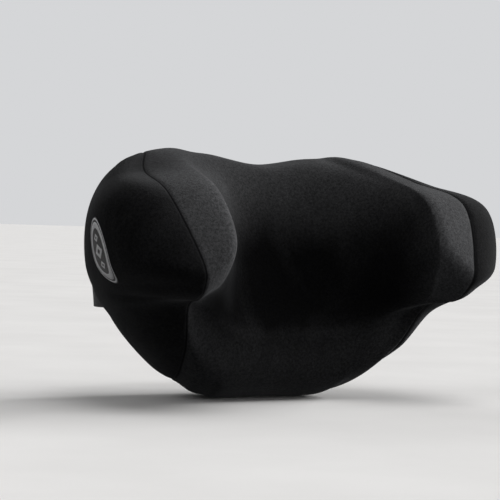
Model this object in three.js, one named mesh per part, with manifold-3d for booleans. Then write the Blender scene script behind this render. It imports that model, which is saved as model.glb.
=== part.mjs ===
// A head and neck pillow that straps to a chair's or car's headrest, in millimetres.
// +X points to the right as the pillow is seen from the front, the front faces -Y, +Z is up.
// The origin is the middle of the flat back, which rests on the headrest.
import * as THREE from "three";
import { mergeVertices } from "three/addons/utils/BufferGeometryUtils.js";
import Module from "manifold-3d";

const wasm = await Module();
wasm.setup();

// ---- Driving dimensions ----

// Layers of the pillow, as depths below the outer surface of the cover.
const GAP = 0.3;
const SIDE_SEAM_GAP = 1.0;
const COVER_THICK = 1.0;
const LINER_OUT = 1.4;
const LINER_IN = 2.2;
const FOAM_OUT = 3.0;
const BACK_INSET = 1.3;

// Facets: along the pillow from top to bottom, across its front, and through each side.
const ROWS = 30;
const COLUMNS = 16;
const SIDE_COLUMNS = 6;

// The strap, and the two headrest posts that it goes behind.
const STRAP = { width: 25, thick: 1.4, z: -24, rearY: 64, layer: 1.0 };
const POST_X = 80;

// The side-release buckle and the adjuster, measured from the middle of the strap's rear run.
const BUCKLE = {
  width: 34,
  height: 10,
  wall: 2.6,
  mouthX: -10,
  socketX: -42,
  railWidth: 3.4,
  barRadius: 1.5,
  socketBarX: -48.5,
  plugBarX: 6,
};
const CAVITY = { deepX: -40, halfY: 3.4, halfZ: 14.4 };
const WINDOW = { fromX: -37, toX: -22 };
const ARM = { hingeX: -11, hingeZ: 12, halfY: 2.6 };
const ADJUSTER = { x: 53, length: 14, railThick: 3, halfHeight: 4.2, barRadius: 1.1 };

// The zip in the flat back.
const ZIP = { z: -62, slot: 202, slotHeight: 24, tapeThick: 0.6, tapeEdge: 0.6 };
const COIL = { length: 190, pitch: 5, tooth: 2, spine: 2.1, root: 1.3, tip: -0.9, high: 2.0 };
const SLIDER = { x: 90.5, length: 9, crownY: 2.4, plate: 1.2, halfZ: 3.6, wall: 1.0 };
const PULL = {
  pinY: 5.7,
  pinRadius: 0.7,
  eye: 0.9,
  ring: 1.7,
  width: 2.6,
  length: 22,
  tab: 6,
  thick: 1.2,
};

// The printed oval on the left side, where it sits on the panel, and its size.
const BADGE = { s: 0.52, v: 0.378, halfLong: 31, halfWide: 18, tilt: 12.5, thick: 0.8 };

// ---- Rails: the lines that the pillow's surface runs through ----
// Each rail runs from the top of the back, over the front, to the bottom of the back, for the right half.
// Its eleven stations are: back top edge, top, upper brow, wing top, wing middle, wing bottom, tuck,
// notch under the wing, neck roll, underside, back bottom edge.

const TOP_CORNER = [124, 0, 106];
const BOTTOM_CORNER = [76, 0, -106];

const RAILS = {
  centre: [
    [0, 0, 102], [0, -30, 107], [0, -56, 92], [0, -74, 50], [0, -84, 8], [0, -92, -30],
    [0, -97, -47], [0, -100, -64], [0, -90, -98], [0, -50, -119], [0, 0, -116],
  ],
  bowl: [
    [46, 0, 109], [50, -31, 112], [54, -62, 97], [56, -87, 52], [60, -98, 10], [62, -102, -26],
    [61, -105, -44], [58, -106, -62], [54, -92, -99], [50, -52, -119], [40, 0, -115],
  ],
  inner: [
    [68, 0, 110], [74, -31, 114], [90, -76, 100], [104, -138, 74], [101, -166, 29], [103, -153, -7],
    [106, -134, -26], [98, -118, -42], [76, -99, -91], [64, -54, -115], [52, 0, -113],
  ],
  crest: [
    [90, 0, 111], [98, -31, 117], [112, -88, 102], [116, -156, 77], [113, -189, 31], [117, -177, -4],
    [126, -152, -21], [116, -124, -35], [98, -104, -82], [80, -54, -111], [64, 0, -111],
  ],
  seam: [
    TOP_CORNER, [126, -31, 113], [151, -84, 94], [160, -152, 73], [145, -193, 13], [140, -187, -11],
    [137, -170, -21], [129, -137, -28], [116, -108, -68], [98, -58, -98], BOTTOM_CORNER,
  ],
  flare: [
    TOP_CORNER, [150, -36, 107], [198, -92, 95], [241, -153, 74], [233, -178, 19], [204, -158, -4],
    [188, -138, -20], [168, -116, -36], [140, -92, -74], [108, -48, -99], BOTTOM_CORNER,
  ],
  flank: [
    TOP_CORNER, [146, -13, 102], [176, -32, 78], [195, -46, 40], [199, -50, 4], [184, -42, -24],
    [174, -38, -36], [163, -34, -47], [139, -26, -71], [108, -16, -92], BOTTOM_CORNER,
  ],
  back: [
    TOP_CORNER, [146, 0, 95], [162, 0, 68], [168, 0, 36], [167, 0, 4], [158, 0, -20],
    [152, 0, -31], [145, 0, -40], [130, 0, -59], [107, 0, -83], BOTTOM_CORNER,
  ],
};

// ---- Materials ----

const velour = () => new THREE.MeshStandardMaterial({ color: 0x17171a, roughness: 0.95 });
const backKnit = () => new THREE.MeshStandardMaterial({ color: 0x1d1d20, roughness: 0.95 });
const linerCotton = () => new THREE.MeshStandardMaterial({ color: 0xd9d6cf, roughness: 0.9 });
const foam = () => new THREE.MeshStandardMaterial({ color: 0xe8dfc2, roughness: 1.0 });
const webbing = () => new THREE.MeshStandardMaterial({ color: 0x101012, roughness: 0.85 });
const tape = () => new THREE.MeshStandardMaterial({ color: 0x141416, roughness: 0.9 });
const nylon = () => new THREE.MeshStandardMaterial({ color: 0x1a1a1c, roughness: 0.45 });
const acetal = () => new THREE.MeshStandardMaterial({ color: 0x0e0e0f, roughness: 0.4 });
const zinc = () => new THREE.MeshStandardMaterial({ color: 0x2a2a2d, roughness: 0.35, metalness: 0.9 });
const print = () => new THREE.MeshStandardMaterial({ color: 0xb9b9bd, roughness: 0.7 });
const satin = () => new THREE.MeshStandardMaterial({ color: 0xe6e4df, roughness: 0.6 });

// ---- Closed meshes and booleans ----

/** A geometry from points and triangles, with shared points merged and collapsed triangles dropped. */
function geometryOf(points, triangles) {
  const loose = new THREE.BufferGeometry().setFromPoints(points);
  loose.setIndex(triangles.flat());
  const merged = mergeVertices(loose, 1e-3);
  const index = [...merged.index.array];
  const kept = [];
  for (let i = 0; i < index.length; i += 3) {
    const [a, b, c] = index.slice(i, i + 3);
    if (a !== b && b !== c && c !== a) kept.push(a, b, c);
  }
  merged.setIndex(kept);
  merged.computeVertexNormals();
  return merged;
}

function toSolid(geometry) {
  const bare = geometry.clone();
  bare.deleteAttribute("normal");
  bare.deleteAttribute("uv");
  const merged = mergeVertices(bare, 1e-3);
  return new wasm.Manifold(
    new wasm.Mesh({
      numProp: 3,
      vertProperties: new Float32Array(merged.attributes.position.array),
      triVerts: new Uint32Array(merged.index.array),
    }),
  );
}

function fromSolid(solid) {
  const mesh = solid.getMesh();
  const geometry = new THREE.BufferGeometry();
  geometry.setAttribute("position", new THREE.BufferAttribute(new Float32Array(mesh.vertProperties), 3));
  geometry.setIndex(new THREE.BufferAttribute(new Uint32Array(mesh.triVerts), 1));
  geometry.computeVertexNormals();
  return geometry;
}

const joined = (...parts) => fromSolid(parts.map(toSolid).reduce((a, b) => a.add(b)));
const cut = (body, ...tools) => fromSolid(tools.map(toSolid).reduce((a, b) => a.subtract(b), toSolid(body)));

/** A block between two corners. */
function block([x0, y0, z0], [x1, y1, z1]) {
  const box = new THREE.BoxGeometry(x1 - x0, y1 - y0, z1 - z0);
  return box.translate((x0 + x1) / 2, (y0 + y1) / 2, (z0 + z1) / 2);
}

/** A round bar along Z, centred on z = 0. */
function barAlongZ(radius, length, x, y) {
  return new THREE.CylinderGeometry(radius, radius, length, 16).rotateX(Math.PI / 2).translate(x, y, 0);
}

/** A block with its four long edges rounded, running along X. */
function roundedAlongX(x0, x1, halfY, halfZ, radius) {
  const section = roundedRectangle(2 * halfZ, 2 * halfY, radius);
  const bar = new THREE.ExtrudeGeometry(section, { depth: x1 - x0, bevelEnabled: false, curveSegments: 4 });
  return bar.rotateY(Math.PI / 2).translate(x0, 0, 0);
}

/** A rounded rectangle about the origin. */
function roundedRectangle(width, height, radius) {
  const [w, h] = [width / 2, height / 2];
  const shape = new THREE.Shape();
  shape.moveTo(w - radius, -h);
  shape.absarc(w - radius, radius - h, radius, -Math.PI / 2, 0);
  shape.absarc(w - radius, h - radius, radius, 0, Math.PI / 2);
  shape.absarc(radius - w, h - radius, radius, Math.PI / 2, Math.PI);
  shape.absarc(radius - w, radius - h, radius, Math.PI, 1.5 * Math.PI);
  return shape;
}

/** A flat outline in X and Z, as a plate from y0 to y1. */
function plateXZ(shape, y0, y1) {
  const plate = new THREE.ExtrudeGeometry(shape, { depth: y1 - y0, bevelEnabled: false, curveSegments: 5 });
  return plate.rotateX(Math.PI / 2).translate(0, y1, 0);
}

// ---- The pillow's surface ----

const vector = (p) => new THREE.Vector3(...p);
const spline = (points) => new THREE.CatmullRomCurve3(points, false, "catmullrom", 0.5);
const mirrored = (p) => new THREE.Vector3(-p.x, p.y, p.z);
const railCurves = Object.fromEntries(
  Object.entries(RAILS).map(([name, stations]) => [name, spline(stations.map(vector))]),
);

const railPoint = (name, v) => railCurves[name].getPoint(v);

/** The rib that crosses the front at v, from the left seam to the right one. */
function frontRib(v) {
  const half = ["seam", "crest", "inner", "bowl"].map((name) => railPoint(name, v));
  return spline([...half.map(mirrored), railPoint("centre", v), ...half.reverse()]);
}

/** The rib that goes through a side at v, from the seam to the back edge. side is 1 on the right, -1 on the left. */
function sideRib(v, side) {
  const ends = ["seam", "flare", "flank", "back"].map((name) => railPoint(name, v));
  return new THREE.CubicBezierCurve3(...(side > 0 ? ends : ends.map(mirrored)));
}

/** A grid of points and its triangles. flip turns its faces round. */
function gridPatch(rows, columns, ribAt, flip) {
  const points = [];
  const inner = [];
  const clamp = (i, n) => Math.min(Math.max(i, 1), n - 1);
  for (let r = 0; r <= rows; r++) {
    const rib = ribAt(r / rows);
    for (let c = 0; c <= columns; c++) {
      points.push(rib.getPoint(c / columns));
      inner.push(clamp(r, rows) * (columns + 1) + clamp(c, columns));
    }
  }
  const at = (r, c) => r * (columns + 1) + c;
  const triangles = [];
  for (let r = 0; r < rows; r++)
    for (let c = 0; c < columns; c++) {
      const [a, b, d, e] = [at(r, c), at(r, c + 1), at(r + 1, c + 1), at(r + 1, c)];
      triangles.push(flip ? [a, b, d] : [a, d, b], flip ? [a, d, e] : [a, e, d]);
    }
  const edge = [];
  for (let c = 0; c < columns; c++) edge.push(at(0, c));
  for (let r = 0; r < rows; r++) edge.push(at(r, columns));
  for (let c = columns; c > 0; c--) edge.push(at(rows, c));
  for (let r = rows; r > 0; r--) edge.push(at(r, 0));
  return { points, triangles, inner, edge: flip ? edge : edge.reverse() };
}

/** The flat back, bounded by the edges of the front and of both sides. */
function backPatch(front, left, right) {
  const column = (patch, r) => patch.points[r * (SIDE_COLUMNS + 1) + SIDE_COLUMNS];
  const across = (r) => front.points.slice(r * (COLUMNS + 1), (r + 1) * (COLUMNS + 1));
  const down = [...Array(ROWS - 1).keys()].map((i) => i + 1);
  const loop = [
    ...across(0),
    ...down.map((r) => column(right, r)),
    ...across(ROWS).reverse(),
    ...down.map((r) => column(left, r)).reverse(),
  ];
  const flat = loop.map((p) => new THREE.Vector2(p.x, p.z));
  const faces = THREE.ShapeUtils.triangulateShape(flat, []);
  return { points: loop, triangles: faces.map((f) => (isClockwise(flat, f) ? f : [...f].reverse())) };
}

function isClockwise(points, [a, b, c]) {
  const [p, q, r] = [points[a], points[b], points[c]];
  return (q.x - p.x) * (r.y - p.y) - (q.y - p.y) * (r.x - p.x) < 0;
}

const key = (p) => [p.x, p.y, p.z].map((w) => Math.round(w * 100)).join();

/** For each point of the closed body: the way in, and how much further a corner has to go than a flat. */
function inwardTable(patches) {
  const table = new Map();
  const facesAt = new Map();
  for (const { points, triangles } of patches)
    for (const triangle of triangles) {
      const corners = triangle.map((i) => points[i]);
      const normal = new THREE.Triangle(...corners).getNormal(new THREE.Vector3());
      if (normal.lengthSq() < 0.5) continue;
      corners.forEach((p, i) => {
        const [q, r] = [corners[(i + 1) % 3], corners[(i + 2) % 3]];
        const angle = q.clone().sub(p).angleTo(r.clone().sub(p));
        const list = facesAt.get(key(p)) ?? [];
        list.push({ normal, angle });
        facesAt.set(key(p), list);
      });
    }
  for (const [k, faces] of facesAt) {
    const mean = new THREE.Vector3();
    faces.forEach(({ normal, angle }) => mean.addScaledVector(normal, angle));
    mean.normalize();
    const total = faces.reduce((sum, f) => sum + f.angle, 0);
    const facing = faces.reduce((sum, f) => sum + f.angle * f.normal.dot(mean), 0) / total;
    table.set(k, mean.multiplyScalar(-1 / Math.max(facing, 0.5)));
  }
  return table;
}

const FRONT = gridPatch(ROWS, COLUMNS, frontRib, false);
const LEFT = gridPatch(ROWS, SIDE_COLUMNS, (v) => sideRib(v, -1), true);
const RIGHT = gridPatch(ROWS, SIDE_COLUMNS, (v) => sideRib(v, 1), false);
const BACK = backPatch(FRONT, LEFT, RIGHT);
const BODY = [FRONT, LEFT, RIGHT, BACK];
const INWARD = inwardTable(BODY);

const sunk = (points, depth) => points.map((p) => p.clone().addScaledVector(INWARD.get(key(p)), depth));

/** The pillow's closed surface, depth millimetres below the cover's outer face. */
function closedBody(depth) {
  const points = [];
  const triangles = [];
  for (const patch of BODY) {
    const start = points.length;
    points.push(...sunk(patch.points, depth));
    triangles.push(...patch.triangles.map((t) => t.map((i) => i + start)));
  }
  return geometryOf(points, triangles);
}

/** One panel of the cover: its patch as a thin shell, drawn back from its seams by a gap. */
function panelShell(patch, gap) {
  const drawnBack = (depth) => {
    const points = sunk(patch.points, depth);
    return points.map((p, i) => {
      const target = points[patch.inner[i]];
      const reach = target.distanceTo(p);
      return reach ? p.clone().lerp(target, Math.min(gap / reach, 0.45)) : p;
    });
  };
  const count = patch.points.length;
  const points = [...drawnBack(0), ...drawnBack(COVER_THICK)];
  const triangles = [...patch.triangles];
  patch.triangles.forEach(([a, b, c]) => triangles.push([a + count, c + count, b + count]));
  patch.edge.forEach((a, i) => {
    const b = patch.edge[(i + 1) % patch.edge.length];
    triangles.push([a, a + count, b + count], [a, b + count, b]);
  });
  return geometryOf(points, triangles);
}

// ---- The pillow's pieces ----

const foamCore = () => closedBody(FOAM_OUT);

/** A thin bag round the foam, open along a slot behind the zip. */
function innerLiner() {
  const slot = block([-ZIP.slot / 2, -6, ZIP.z - 4], [ZIP.slot / 2, 1, ZIP.z + 4]);
  return cut(closedBody(LINER_OUT), closedBody(LINER_IN), slot);
}

/** The flat back, with the zip's slot and a slit at each side where the strap comes out. Slivers beyond a slit go. */
function coverBack() {
  const outline = sunk(BACK.points, BACK_INSET).map((p) => new THREE.Vector2(p.x, p.z));
  const shape = new THREE.Shape(outline);
  const slot = block(
    [-ZIP.slot / 2, -COVER_THICK - 1, ZIP.z - ZIP.slotHeight / 2],
    [ZIP.slot / 2, 1, ZIP.z + ZIP.slotHeight / 2],
  );
  const slits = [-1, 1].map((side) => strapHalf(side, STRAP.thick + 2 * GAP, STRAP.width + 2 * GAP));
  const pieces = toSolid(cut(plateXZ(shape, -COVER_THICK, 0), slot, ...slits)).decompose();
  return fromSolid(pieces.reduce((largest, piece) => (piece.volume() > largest.volume() ? piece : largest)));
}

/** The oval patch, laid on the left side panel. */
function badgePatch() {
  const turn = THREE.MathUtils.degToRad(BADGE.tilt);
  const step = 0.01;
  const at = (s, v) => sideRib(v, -1).getPoint(s);
  const middle = at(BADGE.s, BADGE.v);
  const alongS = at(BADGE.s + step, BADGE.v).sub(middle).divideScalar(step);
  const alongV = at(BADGE.s, BADGE.v + step).sub(middle).divideScalar(step);
  const outward = alongS.clone().cross(alongV).normalize();
  const up = new THREE.Vector3(0, Math.sin(turn), Math.cos(turn)).projectOnPlane(outward).normalize();
  const across = up.clone().cross(outward);
  const onPanel = (a, b, lift) => {
    const wanted = across.clone().multiplyScalar(a).addScaledVector(up, b);
    const [ss, sv, vv] = [alongS.lengthSq(), alongS.dot(alongV), alongV.lengthSq()];
    const [ws, wv] = [wanted.dot(alongS), wanted.dot(alongV)];
    const det = ss * vv - sv * sv;
    const s = BADGE.s + (ws * vv - wv * sv) / det;
    const v = BADGE.v + (wv * ss - ws * sv) / det;
    const p = at(s, v);
    const ds = at(s + step, v).sub(p);
    const dv = at(s, v + step).sub(p);
    return p.addScaledVector(ds.cross(dv).normalize(), lift);
  };
  const sectors = 28;
  const rings = 3;
  const layer = (lift) => {
    const points = [onPanel(0, 0, lift)];
    for (let ring = 1; ring <= rings; ring++)
      for (let i = 0; i < sectors; i++) {
        const angle = (2 * Math.PI * i) / sectors;
        const size = ring / rings;
        const a = BADGE.halfWide * size * Math.cos(angle);
        const b = BADGE.halfLong * size * Math.sin(angle);
        points.push(onPanel(a, b, lift));
      }
    return points;
  };
  const low = layer(2 * GAP);
  const high = layer(2 * GAP + BADGE.thick);
  const count = low.length;
  const at2 = (ring, i) => 1 + (ring - 1) * sectors + (i % sectors);
  const face = [];
  for (let i = 0; i < sectors; i++) {
    face.push([0, at2(1, i), at2(1, i + 1)]);
    for (let ring = 1; ring < rings; ring++) {
      const [a, b, c, d] = [at2(ring, i), at2(ring + 1, i), at2(ring + 1, i + 1), at2(ring, i + 1)];
      face.push([a, b, c], [a, c, d]);
    }
  }
  const triangles = face.map((t) => t.map((i) => i + count));
  face.forEach(([a, b, c]) => triangles.push([a, c, b]));
  for (let i = 0; i < sectors; i++) {
    const [a, b] = [at2(rings, i), at2(rings, i + 1)];
    triangles.push([a, b, b + count], [a, b + count, a + count]);
  }
  return geometryOf([...low, ...high], triangles);
}

/** A blank label, sewn flat on the back under the zip. */
const careLabel = () => plateXZ(roundedRectangle(30, 18, 1.5), GAP, GAP + 0.5).translate(30, 0, ZIP.z - 25);

// ---- The strap ----

/** The strap's path seen from above, from the seam round the post to the buckle's bar and back beside itself. */
function strapPath(barX, tailX) {
  const inner = STRAP.rearY - STRAP.layer;
  const outer = STRAP.rearY + STRAP.layer;
  const turn = BUCKLE.barRadius + GAP + STRAP.thick / 2;
  const path = new THREE.Path();
  path.moveTo(152.8, -COVER_THICK + 0.1);
  path.splineThru(
    [[156, 9], [157.5, 17], [152, 28], [138, 38], [112, 50], [92, 59], [POST_X - 4, inner]].map(
      ([x, y]) => new THREE.Vector2(x, y),
    ),
  );
  path.lineTo(barX + 14, inner);
  path.bezierCurveTo(barX + 7, inner, barX + 7, STRAP.rearY - turn, barX, STRAP.rearY - turn);
  path.absarc(barX, STRAP.rearY, turn, -Math.PI / 2, -1.5 * Math.PI, true);
  path.bezierCurveTo(barX + 7, STRAP.rearY + turn, barX + 7, outer, barX + 14, outer);
  path.lineTo(tailX, outer);
  return path.getPoints(3);
}

/** A closed outline round a path, half a thickness to each side of it. */
function ribbonOutline(points, thick) {
  const side = (sign) =>
    points.map((p, i) => {
      const before = points[Math.max(i - 1, 0)];
      const after = points[Math.min(i + 1, points.length - 1)];
      const along = after.clone().sub(before).normalize();
      return new THREE.Vector2(p.x - (sign * along.y * thick) / 2, p.y + (sign * along.x * thick) / 2);
    });
  return new THREE.Shape([...side(1), ...side(-1).reverse()]);
}

/** One half of the strap. Near its root it leans, to follow the slanted side seam that it is sewn into. */
function strapHalf(side, thick, width) {
  const barX = side > 0 ? BUCKLE.plugBarX : -BUCKLE.socketBarX;
  const tailX = barX + (side > 0 ? 60 : 18);
  const path = withoutRepeats(strapPath(barX, tailX));
  const ribbon = new THREE.ExtrudeGeometry(ribbonOutline(path, thick), { depth: width, bevelEnabled: false });
  ribbon.translate(0, 0, STRAP.z - width / 2);
  const seamLean = 0.55;
  const leanReach = 40;
  const place = ribbon.attributes.position;
  for (let i = 0; i < place.count; i++) {
    const fade = Math.max(0, 1 - place.getY(i) / leanReach);
    const lean = place.getX(i) > POST_X ? seamLean * fade ** 2 : 0;
    place.setX(i, place.getX(i) + lean * (place.getZ(i) - STRAP.z));
  }
  return side > 0 ? ribbon : mirroredGeometry(ribbon);
}

const withoutRepeats = (points) => points.filter((p, i) => !i || p.distanceTo(points[i - 1]) > 0.05);

/** The mirror image in the plane x = 0, with its faces turned back out. */
function mirroredGeometry(geometry) {
  const source = geometry.index ? geometry.toNonIndexed() : geometry;
  const place = source.attributes.position;
  const points = [];
  const triangles = [];
  for (let i = 0; i < place.count; i++) points.push(new THREE.Vector3(-place.getX(i), place.getY(i), place.getZ(i)));
  for (let i = 0; i < place.count; i += 3) triangles.push([i, i + 2, i + 1]);
  return geometryOf(points, triangles);
}

// ---- The buckle and the adjuster, about the middle of the strap's rear run ----

/** Two rails and a round bar that the webbing turns round. */
function webBar(fromX, toX, barX) {
  const outer = BUCKLE.width / 2;
  const rails = [-1, 1].map((side) => {
    const z = side * (outer - BUCKLE.railWidth / 2);
    return block([fromX, -3, z - BUCKLE.railWidth / 2], [toX, 3, z + BUCKLE.railWidth / 2]);
  });
  return [...rails, barAlongZ(BUCKLE.barRadius, BUCKLE.width - BUCKLE.railWidth, barX, 0)];
}

function buckleSocket() {
  const shell = roundedAlongX(BUCKLE.socketX, BUCKLE.mouthX, BUCKLE.height / 2, BUCKLE.width / 2, 2.5);
  const cavity = block([CAVITY.deepX, -CAVITY.halfY, -CAVITY.halfZ], [1, CAVITY.halfY, CAVITY.halfZ]);
  const windows = block([WINDOW.fromX, -CAVITY.halfY, -BUCKLE.width], [WINDOW.toX, CAVITY.halfY, BUCKLE.width]);
  return joined(cut(shell, cavity, windows), ...webBar(BUCKLE.socketBarX - 1.5, BUCKLE.socketX + 1, BUCKLE.socketBarX));
}

function bucklePlug() {
  const shoulderX = BUCKLE.mouthX + GAP + 0.1;
  const shoulder = roundedAlongX(shoulderX, shoulderX + 5, BUCKLE.height / 2, BUCKLE.width / 2, 2.5);
  const tongue = block([-34, -2.4, -1.6], [shoulderX + 1, 2.4, 1.6]);
  return joined(shoulder, tongue, ...webBar(shoulderX + 4, BUCKLE.plugBarX + 2.5, BUCKLE.plugBarX));
}

/** A springy arm with the catch on its tip, drawn about its root. */
function buckleArm(side) {
  const outline = [[0.6, -1.2], [0.6, 1.2], [-18, 1.2], [-18, 3.6], [-24, 3.0], [-25.5, 1.0], [-25.5, -1.2]];
  const shape = new THREE.Shape(outline.map(([x, z]) => new THREE.Vector2(x, side * z)));
  return plateXZ(shape, -ARM.halfY, ARM.halfY);
}

function triGlide() {
  const halfWide = STRAP.width / 2 + 0.8;
  const halfLong = ADJUSTER.length / 2;
  const high = ADJUSTER.halfHeight;
  const rails = [-1, 1].map((side) => {
    const z = side * (halfWide + ADJUSTER.railThick / 2);
    return block([-halfLong, -high, z - ADJUSTER.railThick / 2], [halfLong, high, z + ADJUSTER.railThick / 2]);
  });
  const barLength = 2 * halfWide + ADJUSTER.railThick;
  const barY = high - ADJUSTER.barRadius;
  const barX = halfLong - ADJUSTER.barRadius - 0.2;
  const bars = [[-barX, -barY], [0, barY], [barX, -barY]];
  return joined(...rails, ...bars.map(([x, y]) => barAlongZ(ADJUSTER.barRadius, barLength, x, y)));
}

// ---- The zip, about the middle of its coil ----

/** One tape, above the coil's middle line. */
function zipTape() {
  const [low, high] = [ZIP.tapeEdge, ZIP.slotHeight / 2 - GAP];
  const half = ZIP.slot / 2 - GAP;
  return block([-half, -GAP - ZIP.tapeThick, low], [half, -GAP, high]);
}

/** One row of coil teeth, above the middle line. shift moves the teeth along by a share of the pitch. */
function zipCoil(shift) {
  const half = COIL.length / 2;
  const outline = [[half, COIL.spine], [-half, COIL.spine], [-half, COIL.root]];
  for (let x = -half + 1 + shift * COIL.pitch; x + COIL.tooth < half; x += COIL.pitch)
    outline.push([x, COIL.root], [x + 0.3, COIL.tip], [x + COIL.tooth - 0.3, COIL.tip], [x + COIL.tooth, COIL.root]);
  outline.push([half, COIL.root]);
  return plateXZ(new THREE.Shape(outline.map(([x, z]) => new THREE.Vector2(x, z))), 0, COIL.high);
}

const zipStop = () => block([-1, 0, -2.4], [1, COIL.high, 2.4]);

/** A channel that straddles the coil, with two lugs and a pin for the pull. */
function zipSlider() {
  const half = SLIDER.length / 2;
  const top = SLIDER.crownY + SLIDER.plate;
  const crown = block([-half, SLIDER.crownY, -SLIDER.halfZ], [half, top, SLIDER.halfZ]);
  const walls = [-1, 1].map((side) => {
    const z = side * (SLIDER.halfZ - SLIDER.wall / 2);
    return block([-half, 0.1, z - SLIDER.wall / 2], [half, top, z + SLIDER.wall / 2]);
  });
  const lugZ = PULL.width / 2 + GAP;
  const lugs = [-1, 1].map((side) => {
    const z = side * (lugZ + 0.5);
    return block([-1.4, SLIDER.crownY, z - 0.5], [1.4, PULL.pinY + 1.1, z + 0.5]);
  });
  return joined(crown, ...walls, ...lugs, barAlongZ(PULL.pinRadius, 2 * lugZ + 1, 0, PULL.pinY));
}

/** The pull: an eye round the slider's pin and a flat tab, lying along -X from the pin. */
function zipPull() {
  const eye = new THREE.Shape().absarc(0, 0, PULL.ring, 0, 2 * Math.PI);
  eye.holes.push(new THREE.Path().absarc(0, 0, PULL.eye, 0, 2 * Math.PI, true));
  const ring = new THREE.ExtrudeGeometry(eye, { depth: PULL.width, bevelEnabled: false, curveSegments: 10 });
  ring.translate(0, 0, -PULL.width / 2);
  const neck = block([-6, -PULL.thick / 2, -PULL.width / 2], [-1.4, PULL.thick / 2, PULL.width / 2]);
  const tabLength = PULL.length - 5;
  const tab = plateXZ(roundedRectangle(tabLength, PULL.tab, 2), -PULL.thick / 2, PULL.thick / 2);
  return joined(ring, neck, tab.translate(-5 - tabLength / 2, 0, 0));
}

// ---- The assembly ----

function part(name, geometry, material, place = [0, 0, 0]) {
  const mesh = new THREE.Mesh(geometry, material);
  mesh.name = name;
  mesh.position.set(...place);
  return mesh;
}

function pillow() {
  const group = new THREE.Group();
  group.add(
    part("foam_core", foamCore(), foam()),
    part("inner_liner", innerLiner(), linerCotton()),
    part("cover_front", panelShell(FRONT, GAP), velour()),
    part("cover_side_left", panelShell(LEFT, SIDE_SEAM_GAP), velour()),
    part("cover_side_right", panelShell(RIGHT, SIDE_SEAM_GAP), velour()),
    part("cover_back", coverBack(), backKnit()),
    part("badge_patch", badgePatch(), print()),
    part("care_label", careLabel(), satin()),
  );
  return group;
}

function zip() {
  const group = new THREE.Group();
  group.position.z = ZIP.z;
  const lowerTape = part("zip_tape_lower", zipTape(), tape());
  const lowerCoil = part("zip_coil_lower", zipCoil(0.5), nylon(), [0, COIL.high, 0]);
  lowerTape.rotation.x = Math.PI;
  lowerTape.position.y = -2 * GAP - ZIP.tapeThick;
  lowerCoil.rotation.x = Math.PI;
  const stopX = COIL.length / 2 + 2;
  group.add(
    part("zip_tape_upper", zipTape(), tape()),
    lowerTape,
    part("zip_coil_upper", zipCoil(0), nylon()),
    lowerCoil,
    part("zip_stop_left", zipStop(), zinc(), [-stopX, 0, 0]),
    part("zip_stop_right", zipStop(), zinc(), [stopX, 0, 0]),
    part("zip_slider", zipSlider(), zinc(), [SLIDER.x, 0, 0]),
    part("zip_pull", zipPull(), zinc(), [SLIDER.x, PULL.pinY, 0]),
  );
  return group;
}

function strap() {
  const group = new THREE.Group();
  group.add(
    part("strap_left", strapHalf(-1, STRAP.thick, STRAP.width), webbing()),
    part("strap_right", strapHalf(1, STRAP.thick, STRAP.width), webbing()),
  );
  return group;
}

function rearHardware() {
  const group = new THREE.Group();
  group.position.set(0, STRAP.rearY, STRAP.z);
  group.add(
    part("buckle_socket", buckleSocket(), acetal()),
    part("buckle_plug", bucklePlug(), acetal()),
    part("buckle_arm_upper", buckleArm(1), acetal(), [ARM.hingeX, 0, ARM.hingeZ]),
    part("buckle_arm_lower", buckleArm(-1), acetal(), [ARM.hingeX, 0, -ARM.hingeZ]),
    part("tri_glide", triGlide(), acetal(), [ADJUSTER.x, 0, 0]),
  );
  return group;
}

const headrestPillow = new THREE.Group();
headrestPillow.add(pillow(), zip(), strap(), rearHardware());

export default headrestPillow;
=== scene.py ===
import math

import bmesh
import bpy
import numpy as np
from mathutils import Matrix, Vector
from mathutils.bvhtree import BVHTree


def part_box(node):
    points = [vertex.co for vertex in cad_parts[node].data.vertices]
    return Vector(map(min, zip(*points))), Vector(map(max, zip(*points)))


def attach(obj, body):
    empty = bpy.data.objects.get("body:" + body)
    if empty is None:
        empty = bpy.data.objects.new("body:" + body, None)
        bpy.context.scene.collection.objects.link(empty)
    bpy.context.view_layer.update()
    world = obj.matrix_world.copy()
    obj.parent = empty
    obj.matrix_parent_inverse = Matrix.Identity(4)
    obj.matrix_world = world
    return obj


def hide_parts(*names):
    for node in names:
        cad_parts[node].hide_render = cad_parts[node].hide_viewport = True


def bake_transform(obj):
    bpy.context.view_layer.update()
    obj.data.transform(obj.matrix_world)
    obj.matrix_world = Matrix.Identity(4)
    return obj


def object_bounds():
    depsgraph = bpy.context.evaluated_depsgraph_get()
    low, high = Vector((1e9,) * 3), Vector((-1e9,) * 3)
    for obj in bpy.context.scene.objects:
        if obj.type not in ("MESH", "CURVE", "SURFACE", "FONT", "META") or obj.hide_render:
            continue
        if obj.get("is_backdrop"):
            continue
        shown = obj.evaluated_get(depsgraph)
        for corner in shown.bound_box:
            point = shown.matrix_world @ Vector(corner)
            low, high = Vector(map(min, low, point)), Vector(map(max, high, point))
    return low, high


# A winged head and neck pillow in black velour, with a strap, a side-release buckle and a zip behind it.
# Everything is in metres, in the frame of the CAD model: +X right, the front faces -Y, +Z up.
# The pillow's cover is built from the same rails as the CAD solids, puffed by a cloth simulation,
# and then given its seams. The strap, zip and trim are modelled directly.

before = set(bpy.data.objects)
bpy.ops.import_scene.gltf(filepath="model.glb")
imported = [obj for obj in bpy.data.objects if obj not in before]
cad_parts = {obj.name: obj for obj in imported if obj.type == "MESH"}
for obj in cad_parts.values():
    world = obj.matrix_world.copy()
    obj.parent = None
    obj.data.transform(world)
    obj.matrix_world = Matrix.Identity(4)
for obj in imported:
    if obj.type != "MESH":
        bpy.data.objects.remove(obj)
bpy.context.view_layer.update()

MM = 0.001
SIDES = {"left": -1, "right": 1}
BACKWARDS = np.array([0.0, 1.0, 0.0])


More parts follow.
